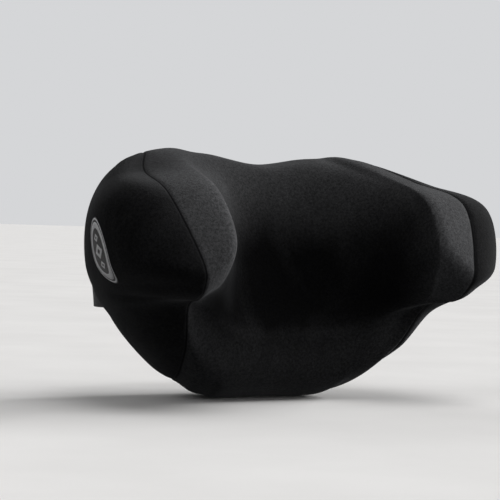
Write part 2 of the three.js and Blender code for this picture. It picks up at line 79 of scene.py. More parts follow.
# ---------------------------------------------------------------------------
# Camera
# ---------------------------------------------------------------------------

IMAGE_SIDE = 500
CAMERA = {
    "azimuth": -30.5,
    "elevation": 1.6,
    "roll": 1.8,
    "distance": 1.76,
    "target": (0, -0.060, 0),
    "focal": 1822,
    "aim_right": 21,
    "aim_down": 24,
}


def direction(azimuth, elevation):
    """The way out from the pillow, in degrees: azimuth 0 is in front of it and 90 is to its right."""
    azimuth = math.radians(azimuth)
    elevation = math.radians(elevation)
    level = math.cos(elevation)
    return Vector((math.sin(azimuth) * level, -math.cos(azimuth) * level, math.sin(elevation)))


def make_camera():
    """The camera, aimed so that the pillow sits a little to the left of and above the middle."""
    roll = math.radians(CAMERA["roll"])
    back = direction(CAMERA["azimuth"], CAMERA["elevation"])
    level_right = (-back).cross(Vector((0, 0, 1))).normalized()
    level_up = level_right.cross(-back)
    right = level_right * math.cos(roll) + level_up * math.sin(roll)
    up = level_up * math.cos(roll) - level_right * math.sin(roll)
    shift = up * CAMERA["aim_down"] - right * CAMERA["aim_right"]
    aim = -back + shift / CAMERA["focal"]
    aim.normalize()
    right = aim.cross(up).normalized()
    up = right.cross(aim)
    data = bpy.data.cameras.new("camera")
    data.sensor_width = 36
    data.lens = CAMERA["focal"] * data.sensor_width / IMAGE_SIDE
    camera = bpy.data.objects.new("camera", data)
    place = Matrix((right, up, -aim)).transposed().to_4x4()
    place.translation = Vector(CAMERA["target"]) + back * CAMERA["distance"]
    camera.matrix_world = place
    bpy.context.scene.collection.objects.link(camera)
    bpy.context.scene.camera = camera


make_camera()


# ---------------------------------------------------------------------------
# Mesh helpers
# ---------------------------------------------------------------------------

def new_object(name, mesh, material=None):
    made = bpy.data.objects.new(name, mesh)
    bpy.context.scene.collection.objects.link(made)
    if material is not None:
        mesh.materials.append(material)
    return made


def clean(mesh, merge, close=None):
    """Merges points that coincide, drops what collapsed, and turns the faces outwards.

    close is the bmesh operator that closes the mesh's open edges, if it has any.
    """
    edit = bmesh.new()
    edit.from_mesh(mesh)
    bmesh.ops.remove_doubles(edit, verts=edit.verts, dist=merge)
    if close is not None:
        close(edit, edges=[e for e in edit.edges if e.is_boundary])
    bmesh.ops.dissolve_degenerate(edit, edges=edit.edges, dist=merge / 10)
    bmesh.ops.recalc_face_normals(edit, faces=edit.faces)
    edit.to_mesh(mesh)
    edit.free()
    mesh.polygons.foreach_set("use_smooth", [True] * len(mesh.polygons))
    mesh.update()


def finished(name, mesh, material, merge=1e-8, close=None):
    clean(mesh, merge, close)
    return new_object(name, mesh, material)


def mesh_from(name, points, faces):
    mesh = bpy.data.meshes.new(name)
    mesh.from_pydata(np.asarray(points, float).reshape(-1, 3).tolist(), [], faces)
    mesh.update()
    return mesh


def grid_faces(rows, columns, start=0, flip=False, around=False):
    """The faces of a grid of points. around joins the last column to the first."""
    faces = []
    last = columns if around else columns - 1
    for r in range(rows - 1):
        for c in range(last):
            a = start + r * columns + c
            b = start + r * columns + (c + 1) % columns
            quad = (a, a + columns, b + columns, b)
            faces.append(quad[::-1] if flip else quad)
    return faces


def shell_faces(rows, columns, around=False):
    """The faces of a closed sheet: an outer grid, an inner grid after it, and the rims between them."""
    count = rows * columns
    faces = grid_faces(rows, columns, around=around)
    faces += grid_faces(rows, columns, start=count, flip=True, around=around)
    last = columns if around else columns - 1
    for c in range(last):
        n = (c + 1) % columns
        low = (rows - 1) * columns
        faces.append((c, n, n + count, c + count))
        faces.append((low + c, low + c + count, low + n + count, low + n))
    if not around:
        for r in range(rows - 1):
            a = r * columns
            b = a + columns - 1
            faces.append((a, a + count, a + columns + count, a + columns))
            faces.append((b, b + columns, b + columns + count, b + count))
    return faces


def tube_faces(rows, columns):
    """The faces of a tube of rings, with a flat face at each end."""
    faces = grid_faces(rows, columns, around=True)
    faces.append(tuple(range(columns)))
    faces.append(tuple(range(rows * columns - 1, (rows - 1) * columns - 1, -1)))
    return faces


def unit(vectors):
    length = np.linalg.norm(vectors, axis=-1, keepdims=True)
    return vectors / np.maximum(length, 1e-12)


def smooth_step(t):
    t = np.clip(t, 0, 1)
    return t * t * (3 - 2 * t)


def between(t, rise, fall):
    """1 between two smooth ramps, each given as its start and its width, and 0 outside them."""
    return smooth_step((t - rise[0]) / rise[1]) * (1 - smooth_step((t - fall[0]) / fall[1]))


def run_length(points, axis=0):
    """How far along a line of points each one is."""
    steps = np.linalg.norm(np.diff(points, axis=axis), axis=-1)
    start = np.zeros_like(np.take(steps, [0], axis=axis))
    return np.concatenate([start, np.cumsum(steps, axis=axis)], axis=axis)


def points_along(line, along, wanted):
    """The points of a line at the wanted lengths along it."""
    return np.stack([np.interp(wanted, along, line[:, axis]) for axis in range(3)], axis=1)


def catmull_rom(points, t, held_ends=False):
    """Points on the smooth curves through points (..., n, 3), at the shares t (..., m) of each curve."""
    first = points[..., :1, :]
    last = points[..., -1:, :]
    before = first if held_ends else 2 * first - points[..., 1:2, :]
    after = last if held_ends else 2 * last - points[..., -2:-1, :]
    knots = np.concatenate([before, points, after], axis=-2)
    spans = knots.shape[-2] - 3
    place = np.clip(np.asarray(t, float), 0, 1) * spans
    place = np.broadcast_to(place, knots.shape[:-2] + place.shape[-1:])
    k = np.minimum(place.astype(int), spans - 1)
    w = (place - k)[..., None]
    p0, p1, p2, p3 = [np.take_along_axis(knots, (k + i)[..., None], axis=-2) for i in range(4)]
    linear = (p2 - p0) * w
    square = (2 * p0 - 5 * p1 + 4 * p2 - p3) * w**2
    cube = (3 * p1 - p0 - 3 * p2 + p3) * w**3
    return p1 + 0.5 * (linear + square + cube)


def bezier(p0, p1, p2, p3, t):
    w = np.asarray(t)[..., None]
    return p0 * (1 - w)**3 + 3 * p1 * w * (1 - w)**2 + 3 * p2 * w**2 * (1 - w) + p3 * w**3


# ---------------------------------------------------------------------------
# The pillow's surface, from the rails of the CAD model, in millimetres
# ---------------------------------------------------------------------------
# Each rail runs from the top of the back, over the front, to the bottom of the back, for the right half.
# Its eleven stations are: back top edge, top, upper brow, wing top, wing middle, wing bottom, tuck,
# notch under the wing, neck roll, underside, back bottom edge.

TOP_CORNER = (124, 0, 106)
BOTTOM_CORNER = (76, 0, -106)
RAILS = {
    "centre": [
        (0, 0, 102), (0, -30, 107), (0, -56, 92), (0, -74, 50), (0, -84, 8), (0, -92, -30),
        (0, -97, -47), (0, -100, -64), (0, -90, -98), (0, -50, -119), (0, 0, -116),
    ],
    "bowl": [
        (46, 0, 109), (50, -31, 112), (54, -62, 97), (56, -87, 52), (60, -98, 10), (62, -102, -26),
        (61, -105, -44), (58, -106, -62), (54, -92, -99), (50, -52, -119), (40, 0, -115),
    ],
    "inner": [
        (68, 0, 110), (74, -31, 114), (90, -76, 100), (104, -138, 74), (101, -166, 29), (103, -153, -7),
        (106, -134, -26), (98, -118, -42), (76, -99, -91), (64, -54, -115), (52, 0, -113),
    ],
    "crest": [
        (90, 0, 111), (98, -31, 117), (112, -88, 102), (116, -156, 77), (113, -189, 31), (117, -177, -4),
        (126, -152, -21), (116, -124, -35), (98, -104, -82), (80, -54, -111), (64, 0, -111),
    ],
    "seam": [
        TOP_CORNER, (126, -31, 113), (151, -84, 94), (160, -152, 73), (145, -193, 13), (140, -187, -11),
        (137, -170, -21), (129, -137, -28), (116, -108, -68), (98, -58, -98), BOTTOM_CORNER,
    ],
    "flare": [
        TOP_CORNER, (150, -36, 107), (198, -92, 95), (241, -153, 74), (233, -178, 19), (204, -158, -4),
        (188, -138, -20), (168, -116, -36), (140, -92, -74), (108, -48, -99), BOTTOM_CORNER,
    ],
    "flank": [
        TOP_CORNER, (146, -13, 102), (176, -32, 78), (195, -46, 40), (199, -50, 4), (184, -42, -24),
        (174, -38, -36), (163, -34, -47), (139, -26, -71), (108, -16, -92), BOTTOM_CORNER,
    ],
    "back": [
        TOP_CORNER, (146, 0, 95), (162, 0, 68), (168, 0, 36), (167, 0, 4), (158, 0, -20),
        (152, 0, -31), (145, 0, -40), (130, 0, -59), (107, 0, -83), BOTTOM_CORNER,
    ],
}
MIRROR = np.array([-1, 1, 1])


def rail(name, v):
    return catmull_rom(np.array(RAILS[name], float) * MM, v)


def front_points(v, u):
    """The front panel at each v down and u across, u running from the left seam to the right one."""
    half = [rail(name, v) for name in ("seam", "crest", "inner", "bowl")]
    knots = [points * MIRROR for points in half] + [rail("centre", v)] + half[::-1]
    return catmull_rom(np.stack(knots, axis=1), u)


def side_points(v, s, side):
    """A side panel at each v down and s across, s running from the front seam to the back one."""
    ends = [rail(name, v)[:, None, :] for name in ("seam", "flare", "flank", "back")]
    points = bezier(*ends, np.broadcast_to(s, (len(v), len(s))))
    return points if side > 0 else points * MIRROR


def surface_normals(points, sign):
    """The way out of the pillow at each point of a grid, where rows run down and columns to the right."""
    down = np.gradient(points, axis=0)
    across = np.gradient(points, axis=1)
    normals = np.cross(down, across)
    length = np.linalg.norm(normals, axis=-1)
    for row, beside in ((0, 2), (-1, -3)):
        if length[row].min() < 1e-11:
            normals[row] = normals[beside]
    return unit(normals) * sign


# ---------------------------------------------------------------------------
# Cloth: the cover's panels puff between their seams
# ---------------------------------------------------------------------------

# sink is how far the panels are drawn in before they are blown up, and most is how far a point may end
# up from the rails, both in millimetres. passes is how often the result is smoothed.
PUFF = {"sink": 1.0, "most": 1.5, "frames": 20, "passes": 8}
CLOTH = {
    "quality": 5,
    "mass": 0.25,
    "tension_stiffness": 20,
    "compression_stiffness": 20,
    "shear_stiffness": 12,
    "bending_stiffness": 1.5,
    "use_pressure": True,
    "uniform_pressure_force": 4.0,
    "shrink_min": -0.012,
    "vertex_group_mass": "held",
}
COARSE = {"rows": 57, "front": 61, "side": 21}


def coarse_panels():
    v = np.linspace(0, 1, COARSE["rows"])
    across = np.linspace(0, 1, COARSE["front"])
    through = np.linspace(0, 1, COARSE["side"])
    panels = {"front": (front_points(v, across), 1)}
    for name, side in SIDES.items():
        panels[name] = (side_points(v, through, side), side)
    return panels


def edge_share(rows, columns):
    """1 in the middle of a panel, falling to 0 at its seams, over the outer tenth of it."""
    v = np.linspace(0, 1, rows)[:, None]
    u = np.linspace(0, 1, columns)[None, :]
    nearest = np.minimum(np.minimum(v, 1 - v), np.minimum(u, 1 - u))
    return smooth_step(nearest / 0.1)


def smoothed(field):
    """A field over a grid with its sharpest creases eased out, and its edges left as they are."""
    field = field.copy()
    for _ in range(PUFF["passes"]):
        inner = field[:-2, 1:-1] + field[2:, 1:-1] + field[1:-1, :-2] + field[1:-1, 2:]
        field[1:-1, 1:-1] = (field[1:-1, 1:-1] + inner / 4) / 2
    return field


def simulate_puff():
    """Puffs the closed cover with its seams and flat back held. Returns how far each panel point moved."""
    panels = coarse_panels()
    points = []
    middles = []
    faces = []
    for grid, sign in panels.values():
        start = sum(len(p) for p in points)
        rows, columns = grid.shape[:2]
        share = edge_share(rows, columns)
        sunk = grid - surface_normals(grid, sign) * (share * PUFF["sink"] * MM)[..., None]
        points.append(sunk.reshape(-1, 3))
        middles.append(share.reshape(-1))
        faces += grid_faces(rows, columns, start)
    stacked = np.concatenate(points)
    loose = np.concatenate(middles) > 0
    keys = np.round(stacked / 1e-6).astype(np.int64)
    _, first, where = np.unique(keys, axis=0, return_index=True, return_inverse=True)
    where = where.reshape(-1)
    merged = [list(dict.fromkeys(int(where[i]) for i in face)) for face in faces]
    mesh = mesh_from("cloth", stacked[first], [face for face in merged if len(face) > 2])
    edit = bmesh.new()
    edit.from_mesh(mesh)
    open_edges = [e for e in edit.edges if e.is_boundary]
    bmesh.ops.triangle_fill(edit, use_beauty=True, use_dissolve=False, edges=open_edges)
    bmesh.ops.recalc_face_normals(edit, faces=edit.faces)
    edit.to_mesh(mesh)
    edit.free()
    cloth = new_object("cloth", mesh)
    held = cloth.vertex_groups.new(name=CLOTH["vertex_group_mass"])
    free = np.zeros(len(first), bool)
    np.logical_or.at(free, where, loose)
    held.add([int(i) for i in np.flatnonzero(~free)], 1.0, "REPLACE")
    modifier = cloth.modifiers.new("Cloth", "CLOTH")
    for label, value in CLOTH.items():
        setattr(modifier.settings, label, value)
    modifier.settings.effector_weights.gravity = 0
    modifier.collision_settings.use_collision = False
    scene = bpy.context.scene
    for number in range(1, PUFF["frames"] + 1):
        scene.frame_set(number)
    evaluated = cloth.evaluated_get(bpy.context.evaluated_depsgraph_get())
    result = np.array([v.co for v in evaluated.data.vertices], float)[where]
    bpy.data.objects.remove(cloth)
    scene.frame_set(1)
    moves = {}
    start = 0
    for name, (grid, _) in panels.items():
        count = grid.shape[0] * grid.shape[1]
        move = (result[start:start + count] - grid.reshape(-1, 3)).reshape(grid.shape)
        far = np.linalg.norm(move, axis=-1, keepdims=True)
        most = PUFF["most"] * MM
        moves[name] = smoothed(move * most * np.tanh(far / most) / np.maximum(far, 1e-9))
        start += count
    return moves


def sampled(field, v, t):
    """A coarse panel's field at the rows v and, in each row, at the shares t of the way across."""
    return catmull_rom(np.swapaxes(catmull_rom(np.swapaxes(field, 0, 1), v), 0, 1), t)


PUFFED = simulate_puff()


# ---------------------------------------------------------------------------
# The cover's panels, with their seams
# ---------------------------------------------------------------------------

EDGE_STEPS = np.array([0, 0.35, 0.75, 1.2, 1.7, 2.3, 3.0, 3.9, 5.0, 6.4, 8.2, 10.4]) * MM
FRONT_MIDDLE = 150
SIDE_MIDDLE = 70
ROWS_MIDDLE = 150
FRONT_DENSE = np.linspace(0, 1, 1201)
SIDE_DENSE = np.linspace(0, 1, 601)
EDGE_ROW_LENGTH = 0.30
CLOTH_THICK = 1.0 * MM
SEAM = {"deep": 1.5, "wide": 1.9, "shoulder_deep": 0.8, "shoulder_wide": 7.0, "corner": 9.0}
PUCKER = {"high": 0.42, "reach": 9.0, "start": 1.6, "waves": (11, 17, 27)}

# Soft folds in the side panels, from one point to another in Y and Z: where the wing's root turns
# into the lower lobe, and beside it.
SIDE_CREASES = [
    {"start": (-70, -21), "end": (-170, -22), "deep": 1.3, "wide": 3.8},
    {"start": (-40, -60), "end": (-84, -38), "deep": 0.6, "wide": 6.0},
]


def row_shares():
    edge = EDGE_STEPS / EDGE_ROW_LENGTH
    middle = np.linspace(edge[-1], 1 - edge[-1], ROWS_MIDDLE)[1:-1]
    return np.concatenate([edge, middle, 1 - edge[::-1]])


ROW_SHARES = row_shares()


def wave(along, seed):
    """A gathered seam's ripple: a few wavelengths in the millimetres of PUCKER, fading in and out."""
    chance = np.random.default_rng(seed)
    total = np.zeros_like(along)
    for length in PUCKER["waves"]:
        total += np.sin(along / (length * MM) * 2 * math.pi + chance.uniform(0, 6.3))
    fade = 0.6 + 0.4 * np.sin(along / (83 * MM) * 2 * math.pi + chance.uniform(0, 6.3))
    return total / len(PUCKER["waves"]) * fade


def fold_profile(points, start, end, wide):
    """How deep in a fold each point is, from 0 to 1, for a fold along a line seen from the side."""
    a = np.array(start) * MM
    b = np.array(end) * MM
    flat = points[..., 1:]
    share = ((flat - a) @ (b - a)) / ((b - a) @ (b - a))
    nearest = a + np.clip(share, 0, 1)[..., None] * (b - a)
    gap = np.linalg.norm(flat - nearest, axis=-1)
    taper = np.sin(np.clip(share, 0, 1) * math.pi)
    return np.exp(-((gap / (wide * MM))**2)) * taper


def spaced(lengths, middle):
    """Distances across each of several lengths, close together at both ends, where the seams are."""
    lengths = lengths.reshape(-1, 1)
    edge = EDGE_STEPS * np.minimum(1, lengths / (3 * EDGE_STEPS[-1]))
    inner = np.linspace(0, 1, middle)[1:-1]
    spread = edge[:, -1:] + inner * (lengths - 2 * edge[:, -1:])
    return np.concatenate([edge, spread, lengths - edge[:, ::-1]], axis=1)


class Panel:
    """One panel of the cover as a grid of points, with its way out and its distances from its seams."""

    def __init__(self, name, sign, dense, middle, seeds):
        self.name = name
        self.sign = sign
        self.points, self.share = self.evenly(dense, middle)
        self.normals = surface_normals(self.points, sign)
        if name in PUFFED:
            self.points = self.points + sampled(PUFFED[name], ROW_SHARES, self.share)
        self.inward = -self.normals
        self.ripple(seeds)

    def evenly(self, dense, middle):
        """The same ribs with points close together at the seams, and each point's share of the way across."""
        along = run_length(dense, axis=1)
        wanted = spaced(along[:, -1], middle)
        shares = np.linspace(0, 1, dense.shape[1])
        points = np.empty((len(dense), wanted.shape[1], 3))
        share = np.empty(wanted.shape)
        for r in range(len(dense)):
            if along[r, -1] < 1e-9:
                points[r] = dense[r, 0]
                share[r] = np.linspace(0, 1, wanted.shape[1])
                continue
            share[r] = np.interp(wanted[r], along[r], shares)
            points[r] = points_along(dense[r], along[r], wanted[r])
        return points, share

    def seam_distances(self):
        """For each of the four edges: how far every point is from it, and how far along it that is."""
        across = run_length(self.points, axis=1)
        down = run_length(self.points, axis=0)
        return {
            "start": (across, down[:, :1]),
            "end": (across[:, -1:] - across, down[:, -1:]),
            "top": (down, across[:1]),
            "bottom": (down[-1:] - down, across[-1:]),
        }

    def clear_of_seams(self):
        """0 on the sewn edges, rising to 1 a few millimetres from them, so that neighbours still meet."""
        clear = np.ones(self.points.shape[:2])
        for away, _ in self.seam_distances().values():
            clear = clear * (1 - np.exp(-((away / (PUCKER["start"] * MM))**2)))
        return clear

    def ripple(self, seeds):
        """Small ripples that run away from each gathered seam."""
        distances = self.seam_distances()
        height = np.zeros(self.points.shape[:2])
        for edge, seed in seeds.items():
            away, along = distances[edge]
            height += PUCKER["high"] * MM * np.exp(-away / (PUCKER["reach"] * MM)) * wave(along, seed)
        self.points = self.points + self.normals * (height * self.clear_of_seams())[..., None]

    def crease(self, folds):
        clear = self.clear_of_seams()
        for fold in folds:
            share = fold_profile(self.points, fold["start"], fold["end"], fold["wide"])
            depth = share * clear * fold["deep"] * MM
            self.points = self.points - self.normals * depth[..., None]


def mitre(one, other):
    """The way out at a seam between two panels, longer where they meet at a sharper angle."""
    facing = np.clip((one * other).sum(-1, keepdims=True), -0.55, 1)
    return (one + other) / (1 + facing)


def towards_corners(line, vectors, first, last):
    """A seam's vectors, turned smoothly into its two corners' vectors near its ends."""
    along = run_length(line)
    reach = SEAM["corner"] * MM
    near_first = 1 - smooth_step(along / reach)[:, None]
    near_last = 1 - smooth_step((along[-1] - along) / reach)[:, None]
    vectors = vectors * (1 - near_first) + first * near_first
    return vectors * (1 - near_last) + last * near_last


EDGES = {
    "start": (slice(None), 0),
    "end": (slice(None), -1),
    "top": (0, slice(None)),
    "bottom": (-1, slice(None)),
}


def sew(panel, seams):
    """Pulls a panel in along its seams. seams gives the shared way out along each edge that is sewn."""
    distances = panel.seam_distances()
    pull = np.zeros_like(panel.points)
    weight = np.zeros(panel.points.shape[:2])
    shoulder = np.zeros_like(weight)
    for edge, out in seams.items():
        away = distances[edge][0]
        near = np.exp(-((away / (SEAM["wide"] * MM))**2))
        out = out[:, None, :] if edge in ("start", "end") else out[None, :, :]
        pull -= near[..., None] * unit(out) * SEAM["deep"] * MM
        weight += near
        shoulder = np.maximum(shoulder, np.exp(-away / (SEAM["shoulder_wide"] * MM)) * (1 - near))
    lines = {edge: panel.points[EDGES[edge]].copy() for edge in seams}
    panel.points = panel.points + pull / np.maximum(weight, 1)[..., None]
    panel.points -= panel.normals * (shoulder * SEAM["shoulder_deep"] * MM)[..., None]
    for edge, out in seams.items():
        panel.points[EDGES[edge]] = lines[edge] - unit(out) * SEAM["deep"] * MM
        panel.inward[EDGES[edge]] = -out
    panel.seam_near = np.clip(weight, 0, 1)


front = Panel(
    "front", 1, front_points(ROW_SHARES, FRONT_DENSE), FRONT_MIDDLE,
    {"start": 11, "end": 12, "top": 13, "bottom": 14},
)
sides = {}
for side_name, side_sign in SIDES.items():
    sides[side_name] = Panel(
        side_name, side_sign, side_points(ROW_SHARES, SIDE_DENSE, side_sign), SIDE_MIDDLE,
        {"start": 20 + side_sign, "end": 30 + side_sign},
    )
    sides[side_name].crease(SIDE_CREASES)


def round_the_back(which, rows=slice(None), columns=slice(None)):
    """The cover's points, or its ways in, along the top, down the right, along the bottom and up the left."""
    sewn = np.arange(len(ROW_SHARES))[rows][1:-1]
    across = getattr(front, which)
    beside = {name: getattr(panel, which)[sewn, -1] for name, panel in sides.items()}
    return np.concatenate([
        across[0, columns], beside["right"], across[-1, columns][::-1], beside["left"][::-1],
    ])


def sew_cover():
    """Sews the front to both sides, and all three to the flat back."""
    back_row = np.broadcast_to(BACKWARDS, front.normals[0].shape)
    corners = {}
    for name, column in (("left", 0), ("right", -1)):
        for row in (0, -1):
            beside = sides[name].normals[row].mean(axis=0)
            corners[name, row] = unit(front.normals[row, column] + beside + BACKWARDS)
    seams = {}
    for name, column in (("left", 0), ("right", -1)):
        side = sides[name]
        ends = corners[name, 0], corners[name, -1]
        between = mitre(front.normals[:, column], side.normals[:, 0])
        behind = mitre(side.normals[:, -1], np.broadcast_to(BACKWARDS, side.normals[:, -1].shape))
        seams[name] = towards_corners(side.points[:, 0], between, *ends)
        seams[name, "back"] = towards_corners(side.points[:, -1], behind, *ends)
    for edge, row in (("top", 0), ("bottom", -1)):
        ends = corners["left", row], corners["right", row]
        seams[edge] = towards_corners(front.points[row], mitre(front.normals[row], back_row), *ends)
    sew(front, {
        "start": seams["left"],
        "end": seams["right"],
        "top": seams["top"],
        "bottom": seams["bottom"],
    })
    for name, side in sides.items():
        sew(side, {"start": seams[name], "end": seams[name, "back"]})
        for row in (0, -1):
            side.points[row] = side.points[row, 0]
            side.inward[row] = -corners[name, row]


sew_cover()


# ---------------------------------------------------------------------------
# The flat back, round the zip's opening
# ---------------------------------------------------------------------------

tape_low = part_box("zip_tape_lower")[0]
tape_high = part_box("zip_tape_upper")[1]
ZIP_Z = (tape_low.z + tape_high.z) / 2
OPENING = {"half_long": 100 * MM, "half_high": 7.5 * MM, "corner_row": 3}
BACK_ROWS = 16
HEM = {"round": 0.55 * MM, "reach": 0.9 * MM}


def back_panel(outline, inward):
    """The back as rings of points from its outline to the zip's opening, and the way in at each."""
    centre = np.array([0, 0, ZIP_Z])
    ray = outline - centre
    reach_x = OPENING["half_long"] / np.maximum(np.abs(ray[:, 0]), 1e-6)
    reach_z = OPENING["half_high"] / np.maximum(np.abs(ray[:, 2]), 1e-6)
    opening = centre + ray * np.minimum(reach_x, reach_z)[:, None]
    opening[:, 1] = 0
    for x in (-1, 1):
        for z in (-1, 1):
            corner = centre + np.array([x * OPENING["half_long"], 0, z * OPENING["half_high"]])
            opening[np.linalg.norm(opening - corner, axis=1).argmin()] = corner
    length = np.linalg.norm((outline - opening)[:, ::2], axis=1)
    away = spaced(length, BACK_ROWS).T
    share = (away / length)[..., None]
    points = outline * (1 - share) + opening * share
    groove = np.exp(-((away / (SEAM["wide"] * MM))**2))
    left = length - away
    hem = np.exp(-((left / HEM["reach"])**2)) * HEM["round"]
    points[..., 1] = outline[:, 1] * groove - hem
    ways_in = np.broadcast_to(-BACKWARDS, points.shape).copy()
    ways_in[0] = inward
    return points, ways_in, groove


# ---------------------------------------------------------------------------
# Materials
# ---------------------------------------------------------------------------

class Finish:
    """A Principled material and the few node chains that the finishes here are made of."""

    def __init__(self, name, colour, roughness, **constants):
        self.material = bpy.data.materials.new(name)
        self.material.use_nodes = True
        self.tree = self.material.node_tree
        self.shader = self.tree.nodes["Principled BSDF"]
        self.shader.inputs["Base Color"].default_value = (*colour, 1)
        self.shader.inputs["Roughness"].default_value = roughness
        for label, value in constants.items():
            self.shader.inputs[label.replace("_", " ")].default_value = value
        self.place = self.node("TexCoord").outputs["Object"]
        self.bumped = None

    def node(self, kind, **settings):
        made = self.tree.nodes.new("ShaderNode" + kind)
        for label, value in settings.items():
            setattr(made, label, value)
        return made

    def link(self, source, target):
        self.tree.links.new(source, target)

    def math(self, operation, one, other=None, clamp=False):
        node = self.node("Math", operation=operation, use_clamp=clamp)
        for socket, value in zip(node.inputs, (one, other)):
            if isinstance(value, (int, float)):
                socket.default_value = value
            elif value is not None:
                self.link(value, socket)
        return node.outputs[0]

    def stretched(self, scale):
        """The place, scaled differently along each axis."""
        mapping = self.node("Mapping")
        mapping.inputs["Scale"].default_value = scale
        self.link(self.place, mapping.inputs["Vector"])
        return mapping.outputs["Vector"]

    def noise(self, scale, detail=2.0, roughness=0.5, distortion=0.0, vector=None):
        node = self.node("TexNoise")
        node.inputs["Scale"].default_value = scale
        node.inputs["Detail"].default_value = detail
        node.inputs["Roughness"].default_value = roughness
        node.inputs["Distortion"].default_value = distortion
        self.link(vector or self.place, node.inputs["Vector"])
        return node.outputs["Fac"]

    def cells(self, scale):
        node = self.node("TexVoronoi")
        node.inputs["Scale"].default_value = scale
        self.link(self.place, node.inputs["Vector"])
        return node.outputs["Distance"]

    def ranged(self, source, low, high, to_low=0, to_high=1):
        node = self.node("MapRange", clamp=True)
        for label, value in (("From Min", low), ("From Max", high), ("To Min", to_low), ("To Max", to_high)):
            node.inputs[label].default_value = value
        self.link(source, node.inputs["Value"])
        return node.outputs["Result"]

    def attribute(self, name):
        return self.node("Attribute", attribute_name=name).outputs["Fac"]

    def axes(self, source=None):
        node = self.node("SeparateXYZ")
        self.link(source or self.place, node.inputs[0])
        return node.outputs

    def ridges(self, axis, pitch):
        """A smooth wave along one axis, from -1 to 1."""
        return self.math("SINE", self.math("MULTIPLY", axis, 2 * math.pi / pitch))

    def blend(self, share, one, other):
        """A colour between two, each either a colour or a socket."""
        node = self.node("Mix", data_type="RGBA")
        self.link(share, node.inputs["Factor"])
        for socket, value in ((node.inputs[6], one), (node.inputs[7], other)):
            if isinstance(value, tuple):
                socket.default_value = (*value, 1)
            else:
                self.link(value, socket)
        return node.outputs[2]

    def colour(self, source):
        self.link(source, self.shader.inputs["Base Color"])

    def mottled(self, source, low, high, one, other):
        """Colours the surface from one colour, where the source is low, to the other."""
        self.colour(self.blend(self.ranged(source, low, high), one, other))

    def roughness(self, source):
        self.link(source, self.shader.inputs["Roughness"])

    def uneven(self, source, smooth, rough):
        """Roughness that follows a noise, between two values."""
        self.roughness(self.ranged(source, 0.3, 0.7, smooth, rough))

    def bump(self, height, strength, distance):
        node = self.node("Bump")
        node.inputs["Strength"].default_value = strength
        node.inputs["Distance"].default_value = distance
        self.link(height, node.inputs["Height"])
        if self.bumped is not None:
            self.link(self.bumped, node.inputs["Normal"])
        self.bumped = node.outputs["Normal"]
        self.link(self.bumped, self.shader.inputs["Normal"])


def velour():
    """Black velour with a short dense pile, its colour painted in light and shade: painted light at the
    wings' ends with a painted highlight along the rims beside them, a painted shadow in the bowl, painted
    shade on the side panels and in the seams' grooves, and a painted highlight on the seams' shoulders.
    """
    made = Finish(
        "velour", (0.020, 0.020, 0.021), 0.95,
        Sheen_Weight=0.06, Sheen_Roughness=0.38, Specular_IOR_Level=0.05,
    )
    made.shader.inputs["Sheen Tint"].default_value = (0.90, 0.92, 0.96, 1)
    fibre = made.noise(1300, detail=3.0, roughness=0.65)
    tufts = made.cells(850)
    upwards = made.stretched((1.0, 1.0, 0.45))
    brushed = made.noise(24, detail=3.0, roughness=0.55, distortion=0.6, vector=upwards)
    # Painted light and shade from the mesh's painted light attribute, with a little random tone from the
    # brushed noise.
    painted_light_and_tone = made.math("ADD", made.attribute("painted_light"), made.ranged(brushed, 0.3, 0.7, -0.07, 0.07), clamp=True)
    grain = made.noise(420, roughness=0.6)
    mixed = made.math("ADD", made.math("MULTIPLY", fibre, 0.5), made.math("MULTIPLY", grain, 0.5))
    speck = made.ranged(mixed, 0.38, 0.64)
    # Two colours, each speckled by the fibres: the darker one is the painted shade and the lighter one the
    # painted light.
    flat = made.blend(speck, (0.0016, 0.0016, 0.0018), (0.0058, 0.0058, 0.0062))
    painted_lit_colour = made.blend(speck, (0.0450, 0.0452, 0.0468), (0.1250, 0.1256, 0.1300))
    cloth = made.blend(painted_light_and_tone, flat, painted_lit_colour)
    seam = made.attribute("seam")
    # Painted highlight: a lighter band a few millimetres from each seam, on its rolled shoulder. Then painted
    # shade: much darker in the seam's groove.
    wear_and_seam_highlight = made.blend(made.ranged(seam, 0.05, 0.45, 0, 0.25), cloth, (0.034, 0.034, 0.036))
    deep = made.blend(made.ranged(seam, 0.55, 0.98, 0, 0.9), wear_and_seam_highlight, (0.0020, 0.0020, 0.0022))
    made.colour(deep)
    made.uneven(brushed, 0.90, 1.0)
    made.bump(made.noise(130), 0.25, 0.6 * MM)
    made.bump(grain, 0.35, 0.5 * MM)
    made.bump(made.math("ADD", fibre, made.math("MULTIPLY", tufts, 0.6)), 0.55, 0.35 * MM)
    return made.material


def back_knit():
    """A plain black tricot with fine wales, smoother than the velour."""
    made = Finish("back_knit", (0.016, 0.016, 0.018), 0.9, Sheen_Weight=0.15, Sheen_Roughness=0.5)
    x, _, z = made.axes()
    wale = made.ridges(x, 1.25 * MM)
    course = made.ridges(made.math("ADD", z, made.math("MULTIPLY", wale, 0.12 * MM)), 0.9 * MM)
    loops = made.math("MULTIPLY", made.math("ADD", wale, 1.0), made.math("ADD", course, 1.0))
    soft = made.noise(30, detail=3.0)
    fuzz = made.noise(1800)
    knit = made.blend(made.ranged(loops, 0.0, 4.0), (0.008, 0.008, 0.009), (0.028, 0.028, 0.031))
    faded = made.blend(made.ranged(soft, 0.35, 0.75, 0, 0.4), knit, (0.034, 0.034, 0.037))
    shade = made.ranged(made.attribute("seam"), 0.4, 1.0, 0, 0.85)
    made.colour(made.blend(shade, faded, (0.004, 0.004, 0.004)))
    made.uneven(fuzz, 0.82, 0.98)
    made.bump(made.noise(60), 0.3, 0.8 * MM)
    made.bump(made.math("ADD", loops, fuzz), 0.5, 0.14 * MM)
    return made.material


